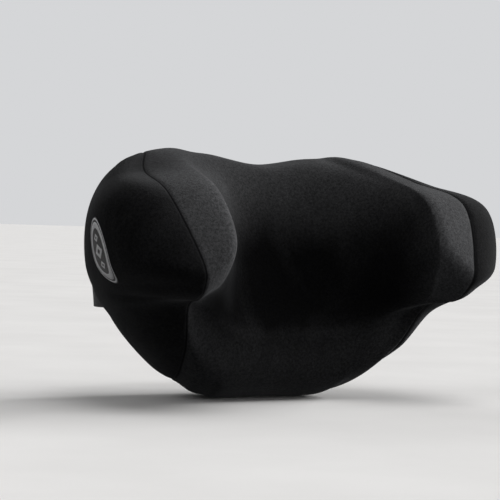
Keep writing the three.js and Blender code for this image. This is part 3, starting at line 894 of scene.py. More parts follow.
def foam():
    """Cream memory foam with fine open cells."""
    made = Finish("memory_foam", (0.72, 0.63, 0.42), 0.95, Subsurface_Weight=0.05)
    cells = made.cells(900)
    patch = made.noise(25, detail=3.0)
    skin = made.blend(made.ranged(patch, 0.3, 0.7), (0.66, 0.56, 0.36), (0.78, 0.70, 0.50))
    made.colour(made.blend(made.ranged(cells, 0.05, 0.4, 0.5, 0), skin, (0.45, 0.36, 0.20)))
    made.uneven(patch, 0.88, 1.0)
    made.bump(cells, 0.6, 0.4 * MM)
    return made.material


def liner_cotton():
    """Off-white cotton jersey."""
    made = Finish("liner_cotton", (0.68, 0.66, 0.61), 0.9, Sheen_Weight=0.1, Sheen_Roughness=0.5)
    x, _, z = made.axes()
    wale = made.ridges(x, 0.9 * MM)
    course = made.ridges(z, 0.7 * MM)
    knit = made.math("MULTIPLY", made.math("ADD", wale, 1.0), made.math("ADD", course, 1.0))
    patch = made.noise(40)
    base = made.blend(made.ranged(knit, 0.0, 4.0), (0.52, 0.50, 0.46), (0.72, 0.70, 0.66))
    made.colour(made.blend(made.ranged(patch, 0.35, 0.7, 0, 0.3), base, (0.60, 0.57, 0.50)))
    made.uneven(patch, 0.85, 0.97)
    made.bump(knit, 0.5, 0.12 * MM)
    return made.material


def webbing():
    """Black polypropylene webbing: ribs across it, in columns, from the UVs in metres along the strap."""
    made = Finish("webbing", (0.018, 0.018, 0.019), 0.6, Specular_IOR_Level=0.4)
    across, along, _ = made.axes(made.node("TexCoord").outputs["UV"])
    column = made.ridges(across, 2.1 * MM)
    half = made.math("MULTIPLY", made.math("SIGN", column), 0.55 * MM)
    pick = made.ridges(made.math("ADD", along, half), 1.1 * MM)
    yarn = made.math("MULTIPLY", made.math("ABSOLUTE", column), made.math("ADD", pick, 1.0))
    fuzz = made.noise(1300)
    dark = made.blend(made.ranged(yarn, 0.0, 2.0), (0.006, 0.006, 0.007), (0.030, 0.030, 0.033))
    made.colour(made.blend(made.ranged(fuzz, 0.45, 0.8, 0, 0.4), dark, (0.050, 0.050, 0.054)))
    made.uneven(fuzz, 0.50, 0.75)
    made.bump(yarn, 0.8, 0.25 * MM)
    return made.material


def woven_tape():
    """The zip's black polyester tape, in a fine herringbone."""
    made = Finish("zip_tape", (0.016, 0.016, 0.018), 0.85, Sheen_Weight=0.08)
    x, _, z = made.axes()
    slant = made.math("ADD", x, made.math("PINGPONG", z, 1.5 * MM))
    rib = made.ridges(slant, 0.8 * MM)
    row = made.ridges(z, 0.6 * MM)
    weave = made.math("ADD", rib, made.math("MULTIPLY", row, 0.5))
    fuzz = made.noise(1500)
    made.mottled(weave, -1.2, 1.2, (0.007, 0.007, 0.008), (0.026, 0.026, 0.028))
    made.uneven(fuzz, 0.75, 0.95)
    made.bump(weave, 0.6, 0.10 * MM)
    return made.material


def nylon_coil():
    """The coil's black nylon, lightly polished where the slider runs."""
    made = Finish("zip_coil", (0.020, 0.020, 0.022), 0.38, Specular_IOR_Level=0.5)
    rub = made.noise(260)
    made.mottled(rub, 0.35, 0.7, (0.014, 0.014, 0.015), (0.032, 0.032, 0.035))
    made.uneven(rub, 0.28, 0.5)
    made.bump(made.noise(1600), 0.15, 0.05 * MM)
    return made.material


WORN = {"from": 0.66, "to": 0.76}


def painted_zinc():
    """Black enamel on cast zinc, rubbed through to the metal at its edges."""
    made = Finish("zip_metal", (0.020, 0.020, 0.022), 0.3, Specular_IOR_Level=0.5, Coat_Weight=0.3)
    edge = made.node("NewGeometry").outputs["Pointiness"]
    wear_and_seam_highlight = made.math("ADD", edge, made.math("MULTIPLY", made.noise(700, detail=3.0), 0.10))
    bare = made.ranged(wear_and_seam_highlight, WORN["from"], WORN["to"])
    made.colour(made.blend(bare, (0.016, 0.016, 0.018), (0.42, 0.41, 0.40)))
    made.link(made.ranged(wear_and_seam_highlight, WORN["from"], WORN["to"], 0, 0.9), made.shader.inputs["Metallic"])
    made.uneven(made.noise(320), 0.24, 0.42)
    made.bump(made.noise(420), 0.08, 0.1 * MM)
    return made.material


def acetal():
    """Moulded black acetal: a fine spark-eroded texture, a little shinier on rubbed edges."""
    made = Finish("acetal", (0.014, 0.014, 0.015), 0.45, Specular_IOR_Level=0.5)
    grain = made.noise(2200)
    flow = made.noise(60, detail=3.0, distortion=1.0)
    edge = made.ranged(made.node("NewGeometry").outputs["Pointiness"], 0.52, 0.60, 0, 1)
    body = made.blend(made.ranged(flow, 0.3, 0.7), (0.011, 0.011, 0.012), (0.019, 0.019, 0.021))
    made.colour(made.blend(edge, body, (0.040, 0.040, 0.043)))
    dull = made.ranged(flow, 0.3, 0.7, 0.42, 0.56)
    made.roughness(made.math("SUBTRACT", dull, made.math("MULTIPLY", edge, 0.15)))
    made.bump(grain, 0.25, 0.08 * MM)
    return made.material


def badge_film():
    """The oval patch's own dark rubbery film."""
    made = Finish("badge_film", (0.012, 0.012, 0.013), 0.6, Specular_IOR_Level=0.35)
    grain = made.noise(1400)
    made.mottled(grain, 0.3, 0.7, (0.009, 0.009, 0.010), (0.017, 0.017, 0.018))
    made.uneven(grain, 0.52, 0.70)
    made.bump(grain, 0.25, 0.08 * MM)
    return made.material


def badge_print():
    """Pale ink, slightly uneven, printed thick on the patch."""
    made = Finish("badge_print", (0.80, 0.80, 0.81), 0.65)
    grain = made.noise(900, detail=3.0)
    thin = made.noise(120)
    ink = made.blend(made.ranged(thin, 0.3, 0.7), (0.74, 0.74, 0.75), (0.88, 0.88, 0.89))
    made.colour(made.blend(made.ranged(grain, 0.58, 0.72, 0, 0.7), ink, (0.42, 0.42, 0.43)))
    made.uneven(grain, 0.55, 0.75)
    made.bump(grain, 0.3, 0.08 * MM)
    return made.material


def satin():
    """White satin ribbon for the blank care label."""
    made = Finish("label_satin", (0.72, 0.71, 0.69), 0.45, Sheen_Weight=0.2, Sheen_Roughness=0.3)
    x, _, z = made.axes()
    weave = made.math("ADD", made.ridges(x, 0.35 * MM), made.math("MULTIPLY", made.ridges(z, 0.5 * MM), 0.5))
    crumple = made.noise(160)
    made.mottled(crumple, 0.3, 0.7, (0.66, 0.65, 0.62), (0.76, 0.75, 0.73))
    made.uneven(crumple, 0.38, 0.55)
    made.bump(weave, 0.25, 0.05 * MM)
    made.bump(crumple, 0.3, 0.4 * MM)
    return made.material


def thread():
    """Twisted polyester thread."""
    made = Finish("thread", (0.022, 0.022, 0.024), 0.55)
    twist = made.noise(1800)
    made.mottled(twist, 0.3, 0.7, (0.014, 0.014, 0.015), (0.040, 0.040, 0.043))
    made.uneven(twist, 0.45, 0.65)
    made.bump(twist, 0.5, 0.08 * MM)
    return made.material


VELOUR = velour()
KNIT = back_knit()
FOAM = foam()
LINER = liner_cotton()
WEBBING = webbing()
TAPE = woven_tape()
COIL = nylon_coil()
ZINC = painted_zinc()
ACETAL = acetal()
FILM = badge_film()
PRINT = badge_print()
SATIN = satin()
THREAD = thread()


# ---------------------------------------------------------------------------
# The cover, the liner and the foam
# ---------------------------------------------------------------------------

def declare(piece, body, slot, *nodes):
    """Makes a piece ride on a body, and hides the CAD nodes that it stands in for. The slot is not used."""
    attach(piece, body)
    if nodes:
        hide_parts(*nodes)
    return piece


# How light the velour's colour is painted, from 0, painted shade, to 1, painted light. The front is painted
# light at the wings' ends, with a painted highlight along the rims beside them, and a painted shadow in the
# bowl; the sides are in shade.
PAINTED_LIGHT_LEVELS = {"front": 0.38, "end": 0.70, "rim_highlight": 0.6, "side": 0.10}

# Where those three painted places are: across in rails from the seam, as a start, or a middle for the
# highlight along the rims, and a width, and down in stations from the top, as the two ramps of between().
PAINTED_LIGHT_ACROSS = {"end": (1.0, 0.4), "rim_highlight": (1.22, 0.09), "bowl": (1.25, 1.2)}
PAINTED_LIGHT_DOWN = {
    "end": ((2.0, 1.6), (5.6, 0.9)),
    "rim_highlight": ((1.5, 1.2), (5.5, 0.8)),
    "bowl": ((2.2, 1.7), (5.2, 3.2)),
}
FRONT_SPANS = 8


def front_painted_light():
    """How light the front's colour is painted at each point, in painted light and shade, alike on both sides.
    """
    down = ROW_SHARES[:, None] * (len(RAILS["seam"]) - 1)
    from_side = np.minimum(front.share, 1 - front.share) * FRONT_SPANS
    across = {name: (from_side - start) / wide for name, (start, wide) in PAINTED_LIGHT_ACROSS.items()}
    # Painted light at the wings' ends, a painted highlight along the rims, and a painted shadow over the
    # bowl.
    ends = (1 - smooth_step(across["end"])) * between(down, *PAINTED_LIGHT_DOWN["end"])
    rim_highlight = np.exp(-(across["rim_highlight"]**2)) * between(down, *PAINTED_LIGHT_DOWN["rim_highlight"])
    bowl = smooth_step(across["bowl"]) * between(down, *PAINTED_LIGHT_DOWN["bowl"])
    painted_highlights = (1 - PAINTED_LIGHT_LEVELS["front"]) * (PAINTED_LIGHT_LEVELS["end"] * ends + PAINTED_LIGHT_LEVELS["rim_highlight"] * rim_highlight)
    return np.clip(PAINTED_LIGHT_LEVELS["front"] * (1 - bowl) + painted_highlights, 0, 1)


def cover_piece(name, outer, inward, near, painted_light, material, around=False):
    """One cover panel as a closed sheet, one cloth thickness deep."""
    rows, columns = outer.shape[:2]
    inner = outer + inward * CLOTH_THICK
    mesh = mesh_from(name, np.concatenate([outer, inner]), shell_faces(rows, columns, around))
    for label, values in (("seam", near), ("painted_light", np.broadcast_to(painted_light, near.shape))):
        layer = mesh.attributes.new(label, "FLOAT", "POINT")
        layer.data.foreach_set("value", np.concatenate([values, values]).astype(np.float32).ravel())
    return finished(name, mesh, material, merge=1e-6)


back_points, back_ways_in, back_near = back_panel(round_the_back("points"), round_the_back("inward"))
cover_front = cover_piece(
    "velour_front", front.points, front.inward, front.seam_near, front_painted_light(), VELOUR,
)
cover_back = cover_piece("knit_back", back_points, back_ways_in, back_near, 0.0, KNIT, around=True)
declare(cover_front, "pillow", "velour", "cover_front")
declare(cover_back, "pillow", "back_knit", "cover_back")
cover_sides = {}
# Each side panel is painted in shade, at one low level of painted light.
for side_name, panel in sides.items():
    piece = cover_piece(
        "velour_side_" + side_name, panel.points, panel.inward, panel.seam_near, PAINTED_LIGHT_LEVELS["side"], VELOUR,
    )
    declare(piece, "pillow", "velour", "cover_side_" + side_name)
    cover_sides[side_name] = piece


INSIDE_STEP = 2
LINER_DEPTHS = (1.5 * MM, 2.0 * MM)
FOAM_DEPTH = 2.6 * MM


def every_few(count):
    return np.unique(np.append(np.arange(0, count, INSIDE_STEP), count - 1))


def skin(depth):
    """The whole pillow's surface, some depth under the cover's outer face, as points and faces."""
    rows = every_few(len(ROW_SHARES))
    columns = every_few(front.points.shape[1])
    through = every_few(sides["right"].points.shape[1])
    grids = [(front.points[np.ix_(rows, columns)], front.inward[np.ix_(rows, columns)], False)]
    for panel in sides.values():
        grids.append((panel.points[np.ix_(rows, through)], panel.inward[np.ix_(rows, through)], False))
    loops = [round_the_back(which, rows, columns) for which in ("points", "inward")]
    points, ways_in, _ = back_panel(*loops)
    grids.append((points, ways_in, True))
    all_points = []
    faces = []
    for points, ways_in, around in grids:
        start = sum(len(p) for p in all_points)
        faces += grid_faces(*points.shape[:2], start=start, around=around)
        all_points.append((points + ways_in * depth).reshape(-1, 3))
    return np.concatenate(all_points), faces


def foam_piece():
    points, faces = skin(FOAM_DEPTH)
    return finished("foam_block", mesh_from("foam", points, faces), FOAM, 1e-6, bmesh.ops.holes_fill)


def liner_piece():
    """A thin bag round the foam, open behind the zip."""
    outer, faces = skin(LINER_DEPTHS[0])
    inner, _ = skin(LINER_DEPTHS[1])
    count = len(outer)
    faces = faces + [tuple(i + count for i in face[::-1]) for face in faces]
    mesh = mesh_from("liner", np.concatenate([outer, inner]), faces)
    return finished("jersey_liner", mesh, LINER, 1e-6, bmesh.ops.bridge_loops)


foam_block = declare(foam_piece(), "pillow", "memory_foam", "foam_core")
declare(liner_piece(), "pillow", "liner_cotton", "inner_liner")


# ---------------------------------------------------------------------------
# Stitches
# ---------------------------------------------------------------------------

STITCH = {"long": 2.9 * MM, "gap": 0.7 * MM, "radius": 0.26 * MM, "rise": 0.22 * MM}


def evenly_along(line, spacing):
    """Points at even steps along a line of points."""
    along = run_length(line)
    count = max(2, int(round(along[-1] / spacing)) + 1)
    return points_along(line, along, np.linspace(0, along[-1], count))


def tube(centres, ups, radius, sides=6, flatten=1.0):
    """The points and faces of a closed tube through its centres, rounded off at both ends."""
    centres = np.asarray(centres, float)
    tangents = unit(np.gradient(centres, axis=0))
    across = unit(np.cross(tangents, ups))
    over = np.cross(across, tangents)
    angles = np.arange(sides) * 2 * math.pi / sides
    rounding = np.ones(len(centres))
    rounding[[0, -1]] = 0.45
    wide = across[:, None] * np.cos(angles)[None, :, None]
    high = over[:, None] * (np.sin(angles) * flatten)[None, :, None]
    ring = wide + high
    points = centres[:, None] + ring * (radius * rounding)[:, None, None]
    return points.reshape(-1, 3), tube_faces(len(centres), sides)


def joined_mesh(name, parts):
    """One mesh from several lists of points and faces."""
    points = []
    faces = []
    for part_points, part_faces in parts:
        start = sum(len(p) for p in points)
        points.append(part_points)
        faces += [tuple(i + start for i in face) for face in part_faces]
    return mesh_from(name, np.concatenate(points), faces)


def stitches(name, lines, out):
    """Rows of stitches along lines of points. out is the way that the cloth faces."""
    parts = []
    out = np.asarray(out, float)
    share = np.linspace(0, 1, 6)
    rise = np.sin(share * math.pi)[:, None] * 1.6 - 0.6
    for line in lines:
        line = np.asarray(line, float)
        along = run_length(line)
        step = STITCH["long"] + STITCH["gap"]
        for begin in np.arange(0, along[-1] - STITCH["long"] * 0.6, step):
            wanted = begin + share * min(STITCH["long"], along[-1] - begin)
            centres = points_along(line, along, wanted) + out * rise * STITCH["rise"]
            parts.append(tube(centres, np.broadcast_to(out, centres.shape), STITCH["radius"]))
    return finished(name, joined_mesh(name, parts), THREAD)


# ---------------------------------------------------------------------------
# The strap
# ---------------------------------------------------------------------------

strap_low, strap_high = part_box("strap_right")
STRAP_Z = (strap_low.z + strap_high.z) / 2
STRAP_WIDE = strap_high.z - strap_low.z
STRAP_THICK = 1.25 * MM
STRAP_REAR = sum(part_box("buckle_socket")[i].y for i in (0, 1)) / 2
LAYER = 1.0 * MM
TURN = 2.5 * MM
BARS = {"right": 6 * MM, "left": 48.5 * MM}
TAILS = {"right": 60 * MM, "left": 18 * MM}
LEAN = {"share": 0.55, "reach": 40 * MM, "beyond": 80 * MM}
STRAP_STEP = 1.0 * MM
RUN_IN = 14 * MM

# The strap's way from the side seam round the headrest's post, seen from above, in millimetres.
STRAP_BEND = [
    (152.8, -0.9), (153, 6), (152.5, 14), (147, 26), (134, 37), (111, 50), (92, 59), (76, 63),
]


def strap_line(side):
    """The strap's middle line, from its root to its buckle's bar and back beside itself."""
    bar = BARS[side]
    inner = STRAP_REAR - LAYER
    outer = STRAP_REAR + LAYER
    knots = np.array([(x, y, 0) for x, y in STRAP_BEND], float) * MM
    bend = catmull_rom(knots, np.linspace(0, 1, 120), held_ends=True)
    run_in = np.linspace(bend[-1], (bar + RUN_IN, inner, 0), 40)[1:]
    near = STRAP_REAR - TURN
    far = STRAP_REAR + TURN
    half_way = bar + RUN_IN / 2
    close = [(bar + RUN_IN, inner), (half_way, inner), (half_way, near), (bar, near)]
    away = [(bar, far), (half_way, far), (half_way, outer), (bar + RUN_IN, outer)]
    share = np.linspace(0, 1, 16)
    close_line = bezier(*[np.array((x, y, 0)) for x, y in close], share)[1:]
    away_line = bezier(*[np.array((x, y, 0)) for x, y in away], share)
    angles = np.linspace(-math.pi / 2, -1.5 * math.pi, 24)[1:-1]
    turn = np.stack([bar + TURN * np.cos(angles), STRAP_REAR + TURN * np.sin(angles), 0 * angles], axis=1)
    run_out = np.linspace(away_line[-1], (bar + TAILS[side], outer, 0), 30)[1:]
    line = np.concatenate([bend, run_in, close_line, turn, away_line, run_out])
    return evenly_along(line, STRAP_STEP)


def webbing_section():
    """The strap's cross-section as (across, over) pairs: ribbed faces and rounded edges."""
    half = STRAP_WIDE / 2
    thick = STRAP_THICK / 2
    flat = np.linspace(-half + thick, half - thick, 37)
    rib = thick * (0.90 + 0.10 * np.abs(np.sin((flat + half) / (2.1 * MM) * math.pi)))
    edge = np.linspace(-math.pi / 2, math.pi / 2, 7)[1:-1]
    right = np.stack([half - thick + thick * np.cos(edge), thick * np.sin(edge)], axis=1)
    top = np.stack([flat[::-1], rib[::-1]], axis=1)
    left = np.stack([-half + thick - thick * np.cos(edge), -thick * np.sin(edge)], axis=1)
    bottom = np.stack([flat, -rib], axis=1)
    return np.concatenate([bottom, right, top, left])


def leaned(points, sign):
    """Leans the strap's root to follow the slanted side seam that it is sewn into."""
    fade = np.maximum(0, 1 - points[..., 1] / LEAN["reach"])
    lean = np.where(sign * points[..., 0] > LEAN["beyond"], LEAN["share"] * fade**2, 0)
    points[..., 0] += sign * lean * (points[..., 2] - STRAP_Z)
    return points


def strap_piece(side):
    sign = SIDES[side]
    line = strap_line(side) * np.array([sign, 1, 1])
    tangents = unit(np.gradient(line, axis=0))
    over = np.stack([-tangents[:, 1], tangents[:, 0], 0 * tangents[:, 0]], axis=1)
    section = webbing_section()
    ends = np.ones(len(line))
    ends[[0, -1]] = 0.6
    points = np.repeat(line[:, None], len(section), axis=1)
    points = points + over[:, None] * (section[None, :, 1] * ends[:, None])[..., None]
    points[..., 2] += STRAP_Z + section[None, :, 0]
    points = leaned(points, sign)
    rows, columns = points.shape[:2]
    mesh = mesh_from("strap_" + side, points, tube_faces(rows, columns))
    along = np.repeat(run_length(line), columns)
    across = np.tile(section[:, 0], rows)
    layer = mesh.uv_layers.new(name="weave")
    corner = np.empty(len(mesh.loops), np.int32)
    mesh.loops.foreach_get("vertex_index", corner)
    weave = np.stack([across[corner], along[corner]], axis=1)
    layer.data.foreach_set("uv", weave.astype(np.float32).ravel())
    return finished("webbing_" + side, mesh, WEBBING)


def box_stitch(x0, x1, y, inset=3.2 * MM):
    """A sewn box with a cross in it, in the plane of the strap's rear run."""
    low = STRAP_Z - STRAP_WIDE / 2 + inset
    high = STRAP_Z + STRAP_WIDE / 2 - inset
    corners = [(x0, low), (x1, low), (x1, high), (x0, high)]
    pairs = [(0, 1), (1, 2), (2, 3), (3, 0), (0, 2), (1, 3)]
    return [[(corners[a][0], y, corners[a][1]), (corners[b][0], y, corners[b][1])] for a, b in pairs]


webbing_left = declare(strap_piece("left"), "pillow", "webbing", "strap_left")
webbing_right = strap_piece("right")
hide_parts("strap_right")
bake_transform(webbing_right)

outer_face = STRAP_REAR + LAYER + STRAP_THICK / 2
tail_x = -(BARS["left"] + TAILS["left"])
left_tail = box_stitch(tail_x + 1.8 * MM, tail_x + 9.0 * MM, outer_face)
declare(stitches("stitches_strap_left", left_tail, BACKWARDS), "pillow", "webbing")
hem_x = BARS["right"] + TAILS["right"] - 2.2 * MM
hem_ends = [(hem_x, outer_face, STRAP_Z + side * (STRAP_WIDE / 2 - 2 * MM)) for side in (-1, 1)]
hem_line = stitches("stitches_strap_hem", [hem_ends], BACKWARDS)
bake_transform(hem_line)


# ---------------------------------------------------------------------------
# The zip
# ---------------------------------------------------------------------------

coil_low, coil_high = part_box("zip_coil_upper")
TAPE_Y = (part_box("zip_tape_upper")[0].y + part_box("zip_tape_upper")[1].y) / 2
TAPE_THICK = 0.5 * MM
TAPE_STEP = {"from": 6.6 * MM, "to": 7.6 * MM, "down": 1.15 * MM}
HEM_OFFSET = 2.4 * MM
TAPE_STITCH = {"offset": 2.9 * MM, "short": 4 * MM}
ZIP_COIL = {"pitch": 2.0 * MM, "wire": 0.34 * MM, "root": 2.5 * MM, "tip": -0.55 * MM, "turn_points": 14}


def zip_tape(name, side):
    """One tape: flat beside the coil, then one step down, under the hem of the cover."""
    across = np.concatenate([
        np.linspace(0.6 * MM, TAPE_STEP["from"], 8),
        np.linspace(TAPE_STEP["from"], TAPE_STEP["to"], 6)[1:],
        np.linspace(TAPE_STEP["to"], 11.4 * MM, 5)[1:],
    ])
    slope = (across - TAPE_STEP["from"]) / (TAPE_STEP["to"] - TAPE_STEP["from"])
    sink = smooth_step(slope) * TAPE_STEP["down"]
    end = OPENING["half_long"] + 0.6 * MM
    along = np.linspace(-end, end, 140)
    ripple = 0.06 * MM * np.sin(along / (9 * MM)) * np.cos(along / (31 * MM))
    grid = np.empty((len(along), len(across), 3))
    grid[..., 0] = along[:, None]
    grid[..., 1] = TAPE_Y - sink[None, :] + ripple[:, None]
    grid[..., 2] = ZIP_Z + side * across[None, :]
    half = np.array([0, TAPE_THICK / 2, 0])
    mesh = mesh_from(name, np.concatenate([grid + half, grid - half]), shell_faces(*grid.shape[:2]))
    return finished(name, mesh, TAPE)


def zip_coil(name, side):
    """One row of the coil: a flattened spiral of nylon, sewn along its root."""
    start = coil_low.x + 0.8 * MM
    end = coil_high.x - 0.8 * MM
    turns = int((end - start) / ZIP_COIL["pitch"])
    angle = np.linspace(0, turns * 2 * math.pi, turns * ZIP_COIL["turn_points"] + 1)
    shift = 0 if side > 0 else ZIP_COIL["pitch"] / 2
    middle = (ZIP_COIL["root"] + ZIP_COIL["tip"]) / 2
    reach = (ZIP_COIL["root"] - ZIP_COIL["tip"]) / 2
    high = (coil_high.y - coil_low.y) / 2 - ZIP_COIL["wire"]
    lean = 0.22 * ZIP_COIL["pitch"] * np.sin(angle)
    squared = np.sign(np.sin(angle)) * np.abs(np.sin(angle))**0.7
    centres = np.stack([
        start + shift * 0.9 + angle / (2 * math.pi) * ZIP_COIL["pitch"] + lean,
        coil_low.y + ZIP_COIL["wire"] + high + high * squared,
        ZIP_Z + side * (middle + reach * np.cos(angle)),
    ], axis=1)
    ups = np.broadcast_to(np.array([1.0, 0.0, 0.0]), centres.shape)
    return finished(name, joined_mesh(name, [tube(centres, ups, ZIP_COIL["wire"])]), COIL)


for half_name, side in (("upper", 1), ("lower", -1)):
    tape = zip_tape("tape_" + half_name, side)
    declare(tape, "pillow", "zip_tape", "zip_tape_" + half_name)
    coil = zip_coil("coil_" + half_name, side)
    declare(coil, "pillow", "zip_coil", "zip_coil_" + half_name)
    rows = []
    for offset, y, reach in (
        (TAPE_STITCH["offset"], TAPE_Y + TAPE_THICK / 2, OPENING["half_long"] - TAPE_STITCH["short"]),
        (OPENING["half_high"] + HEM_OFFSET, 0.0, OPENING["half_long"] + HEM_OFFSET),
    ):
        z = ZIP_Z + side * offset
        rows.append([(-reach, y, z), (reach, y, z)])
    declare(stitches("stitches_zip_" + half_name, rows, BACKWARDS), "pillow", "zip_tape")

zip_ends = []
for side in (-1, 1):
    x = side * (OPENING["half_long"] + HEM_OFFSET)
    half = OPENING["half_high"] + HEM_OFFSET
    zip_ends.append([(x, 0, ZIP_Z - half), (x, 0, ZIP_Z + half)])
declare(stitches("stitches_zip_ends", zip_ends, BACKWARDS), "pillow", "zip_tape")


# ---------------------------------------------------------------------------
# The badge on the left side
# ---------------------------------------------------------------------------

BADGE = {"share": 0.52, "down": 0.378, "long": 31 * MM, "wide": 18 * MM, "tilt": 12.5}
BADGE_LAYERS = {"film": (0.12 * MM, 0.55 * MM), "print": (0.50 * MM, 0.80 * MM)}
BADGE_ROUNDING = 0.10 * MM

# The printed rings, as shares of the oval from outside to inside, with how many rings of points each has,
# and the diamonds: how far up the badge's long axis, half as wide and half as high, in millimetres.
BADGE_RINGS = [(0.97, 0.92, 2), (0.86, 0.68, 4)]
BADGE_DIAMONDS = [(0, 8.2, 7.0), (12.4, 4.6, 3.9), (-12.4, 4.6, 3.9)]
DIAMOND_HOLE = 0.42


class BadgeGround:
    """The left side panel under the badge, as a flat drawing board that is laid onto the real surface."""

    def __init__(self, piece):
        step = 0.01
        shares = np.array([BADGE["share"], BADGE["share"] + step])
        downs = np.array([BADGE["down"], BADGE["down"] + step])
        patch = side_points(downs, shares, SIDES["left"])
        self.middle = Vector(patch[0, 0])
        along_s = Vector(patch[0, 1] - patch[0, 0])
        along_v = Vector(patch[1, 0] - patch[0, 0])
        self.out = along_s.cross(along_v).normalized()
        turn = math.radians(BADGE["tilt"])
        up = Vector((0, math.sin(turn), math.cos(turn)))
        self.up = (up - self.out * up.dot(self.out)).normalized()
        self.across = self.up.cross(self.out)
        edit = bmesh.new()
        edit.from_mesh(piece.data)
        self.tree = BVHTree.FromBMesh(edit)
        edit.free()

    def place(self, a, b, lift):
        """The point above the panel at a across and b up the board."""
        start = self.middle + self.across * a + self.up * b + self.out * 0.03
        hit, normal, _, _ = self.tree.ray_cast(start, -self.out, 0.08)
        if normal.dot(self.out) < 0:
            normal = -normal
        return np.array(hit + normal * lift)


badge_ground = BadgeGround(cover_sides["left"])


def badge_sheet(outline_at, inner_at, layers, rings, sectors):
    """A thin sheet between two closed outlines on the board."""
    low, high = layers
    grids = []
    for lift in (high, low):
        rows = []
        for ring in range(rings + 1):
            share = ring / rings
            row = []
            for k in range(sectors):
                angle = 2 * math.pi * k / sectors
                ax, bx = outline_at(angle)
                ay, by = inner_at(angle)
                rounded = lift == high and ring in (0, rings) and inner_at is not nothing_inside
                a = ax + (ay - ax) * share
                b = bx + (by - bx) * share
                row.append(badge_ground.place(a, b, lift - (BADGE_ROUNDING if rounded else 0)))
            rows.append(row)
        grids.append(np.array(rows))
    points = np.concatenate([grid.reshape(-1, 3) for grid in grids])
    return points, shell_faces(rings + 1, sectors, around=True)


def nothing_inside(angle):
    return 0.0, 0.0


def oval(share):
    def at(angle):
        return BADGE["wide"] * share * math.cos(angle), BADGE["long"] * share * math.sin(angle)
    return at


def diamond(middle_b, half_a, half_b):
    """A diamond on the badge's long axis, as an outline about its middle."""
    def at(angle):
        c, s = math.cos(angle), math.sin(angle)
        reach = 1 / (abs(c) / half_a + abs(s) / half_b)
        return reach * c, middle_b + reach * s
    return at


def badge_pieces():
    """A dark oval film with a plain mark printed on it: two rings, and three diamonds in a row."""
    sheet = badge_sheet(oval(1.0), nothing_inside, BADGE_LAYERS["film"], 10, 96)
    film = finished("badge_film", joined_mesh("badge_film", [sheet]), FILM, merge=1e-7)
    declare(film, "pillow", "badge_print", "badge_patch")
    printed = [
        badge_sheet(oval(outer), oval(inner), BADGE_LAYERS["print"], rings, 144)
        for outer, inner, rings in BADGE_RINGS
    ]
    for numbers in BADGE_DIAMONDS:
        middle, half_a, half_b = [number * MM for number in numbers]
        inner = diamond(middle, half_a * DIAMOND_HOLE, half_b * DIAMOND_HOLE)
        printed.append(badge_sheet(diamond(middle, half_a, half_b), inner, BADGE_LAYERS["print"], 3, 64))
    mark = finished("badge_mark", joined_mesh("badge_print", printed), PRINT, merge=1e-7)
    declare(mark, "pillow", "badge_print")


badge_pieces()


# ---------------------------------------------------------------------------
# The care label
# ---------------------------------------------------------------------------

label_low, label_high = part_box("care_label")


def care_label():
    """A blank satin label, sewn at its top edge and curling a little off the cloth at the bottom."""
    across = np.linspace(label_low.x, label_high.x, 48)
    down = np.linspace(label_high.z, label_low.z, 30)
    x, z = np.meshgrid(across, down)
    fall = (label_high.z - z) / (label_high.z - label_low.z)
    middle = (label_low.x + label_high.x) / 2
    curl = 1.1 * MM * fall**2 * (0.6 + 0.4 * np.cos((x - middle) / (9 * MM)))
    buckle = 0.18 * MM * np.sin((x - middle) / (3.6 * MM)) * fall
    grid = np.stack([x, label_low.y + 0.05 * MM + curl + np.abs(buckle), z], axis=-1)
    thick = np.array([0, 0.22 * MM, 0])
    mesh = mesh_from("label", np.concatenate([grid + thick, grid]), shell_faces(*grid.shape[:2]))
    declare(finished("satin_label", mesh, SATIN), "pillow", "label_satin", "care_label")
    z_row = label_high.z - 1.6 * MM
    y_row = label_low.y + 0.30 * MM
    row = [(label_low.x + 1.2 * MM, y_row, z_row), (label_high.x - 1.2 * MM, y_row, z_row)]
    declare(stitches("stitches_label", [row], BACKWARDS), "pillow", "label_satin")


care_label()


# ---------------------------------------------------------------------------
# Hard parts that keep their CAD shape: softened edges and their own finishes
# ---------------------------------------------------------------------------

def soften(node, material, width, segments):
    """Gives a CAD node a finish and rounds its edges."""
    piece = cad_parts[node]
    piece.data.materials.clear()
    piece.data.materials.append(material)
    weld = piece.modifiers.new("weld", "WELD")
    weld.merge_threshold = 1e-6
    bevel = piece.modifiers.new("bevel", "BEVEL")
    bevel.width = width
    bevel.segments = segments
    bevel.limit_method = "ANGLE"
    bevel.angle_limit = math.radians(38)
    bevel.harden_normals = True
    piece.data.polygons.foreach_set("use_smooth", [True] * len(piece.data.polygons))


# Each hard part's finish, how far its edges are rounded, in millimetres, and in how many steps.
SOFTENED = {
    "buckle_socket": (ACETAL, 0.45, 3),
    "buckle_plug": (ACETAL, 0.45, 3),
    "buckle_arm_upper": (ACETAL, 0.35, 3),
    "buckle_arm_lower": (ACETAL, 0.35, 3),
    "tri_glide": (ACETAL, 0.4, 3),
    "zip_stop_left": (ZINC, 0.3, 3),
    "zip_stop_right": (ZINC, 0.3, 3),
    "zip_slider": (ZINC, 0.18, 2),
    "zip_pull": (ZINC, 0.22, 2),
}
for node, (material, rounding, segments) in SOFTENED.items():
    soften(node, material, rounding * MM, segments)


# ---------------------------------------------------------------------------
# Floor, light and finish
# ---------------------------------------------------------------------------

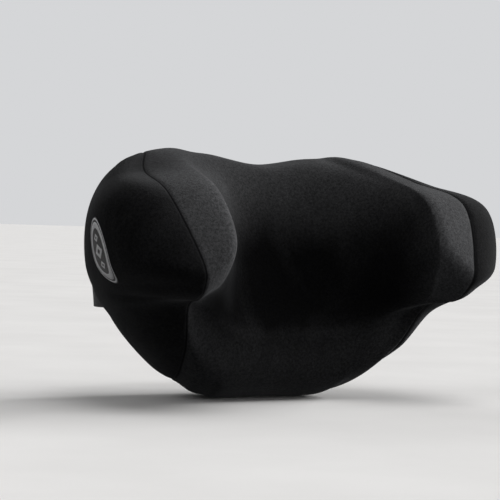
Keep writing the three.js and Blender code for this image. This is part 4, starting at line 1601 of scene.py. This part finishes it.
def studio_paper():
    """The pale floor, with the faint mottle of seamless paper."""
    made = Finish("studio_paper", (0.78, 0.77, 0.76), 0.85, Specular_IOR_Level=0.1)
    mottle = made.noise(6, detail=4.0)
    made.mottled(mottle, 0.3, 0.7, (0.76, 0.75, 0.74), (0.81, 0.80, 0.79))
    made.bump(made.noise(500), 0.05, 0.2 * MM)
    return made.material


FLOOR_HALF = 30.0


def make_floor(height):
    corners = [(x * FLOOR_HALF, y * FLOOR_HALF, height) for x, y in ((-1, -1), (1, -1), (1, 1), (-1, 1))]
    floor = new_object("floor", mesh_from("floor", corners, [(0, 1, 2, 3)]), studio_paper())
    floor.visible_diffuse = False
    floor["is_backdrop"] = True


# Each lamp is soft and far away, with its strength in watts per square metre.
LIGHTS = {
    "key": {"azimuth": 92, "elevation": 20, "softness": 22, "strength": 3.2},
    "front": {"azimuth": 55, "elevation": 12, "softness": 24, "strength": 0.7},
    "top": {"azimuth": 20, "elevation": 72, "softness": 40, "strength": 1.1},
    "left": {"azimuth": -80, "elevation": 35, "softness": 30, "strength": 0.38},
    "behind": {"azimuth": 172, "elevation": 35, "softness": 40, "strength": 0.5},
}
AMBIENT = 0.09
BACKDROP = 0.70


def make_lights():
    for name, light in LIGHTS.items():
        way = direction(light["azimuth"], light["elevation"])
        data = bpy.data.lights.new(name, "SUN")
        data.angle = math.radians(light["softness"])
        data.energy = light["strength"]
        lamp = bpy.data.objects.new(name, data)
        lamp.location = way * 2
        lamp.rotation_euler = (-way).to_track_quat("-Z", "Y").to_euler()
        bpy.context.scene.collection.objects.link(lamp)


def make_world():
    """A pale backdrop that lights the pillow only faintly, so that the lights shape it."""
    world = bpy.data.worlds.new("studio")
    world.use_nodes = True
    tree = world.node_tree
    background = tree.nodes["Background"]
    background.inputs["Color"].default_value = (0.95, 0.96, 0.98, 1)
    seen = tree.nodes.new("ShaderNodeLightPath").outputs["Is Camera Ray"]
    strength = tree.nodes.new("ShaderNodeMapRange")
    strength.inputs["To Min"].default_value = AMBIENT
    strength.inputs["To Max"].default_value = BACKDROP
    tree.links.new(seen, strength.inputs["Value"])
    tree.links.new(strength.outputs["Result"], background.inputs["Strength"])
    bpy.context.scene.world = world
    bpy.context.scene.view_settings.view_transform = "Standard"


make_floor(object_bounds()[0].z)
make_lights()
make_world()
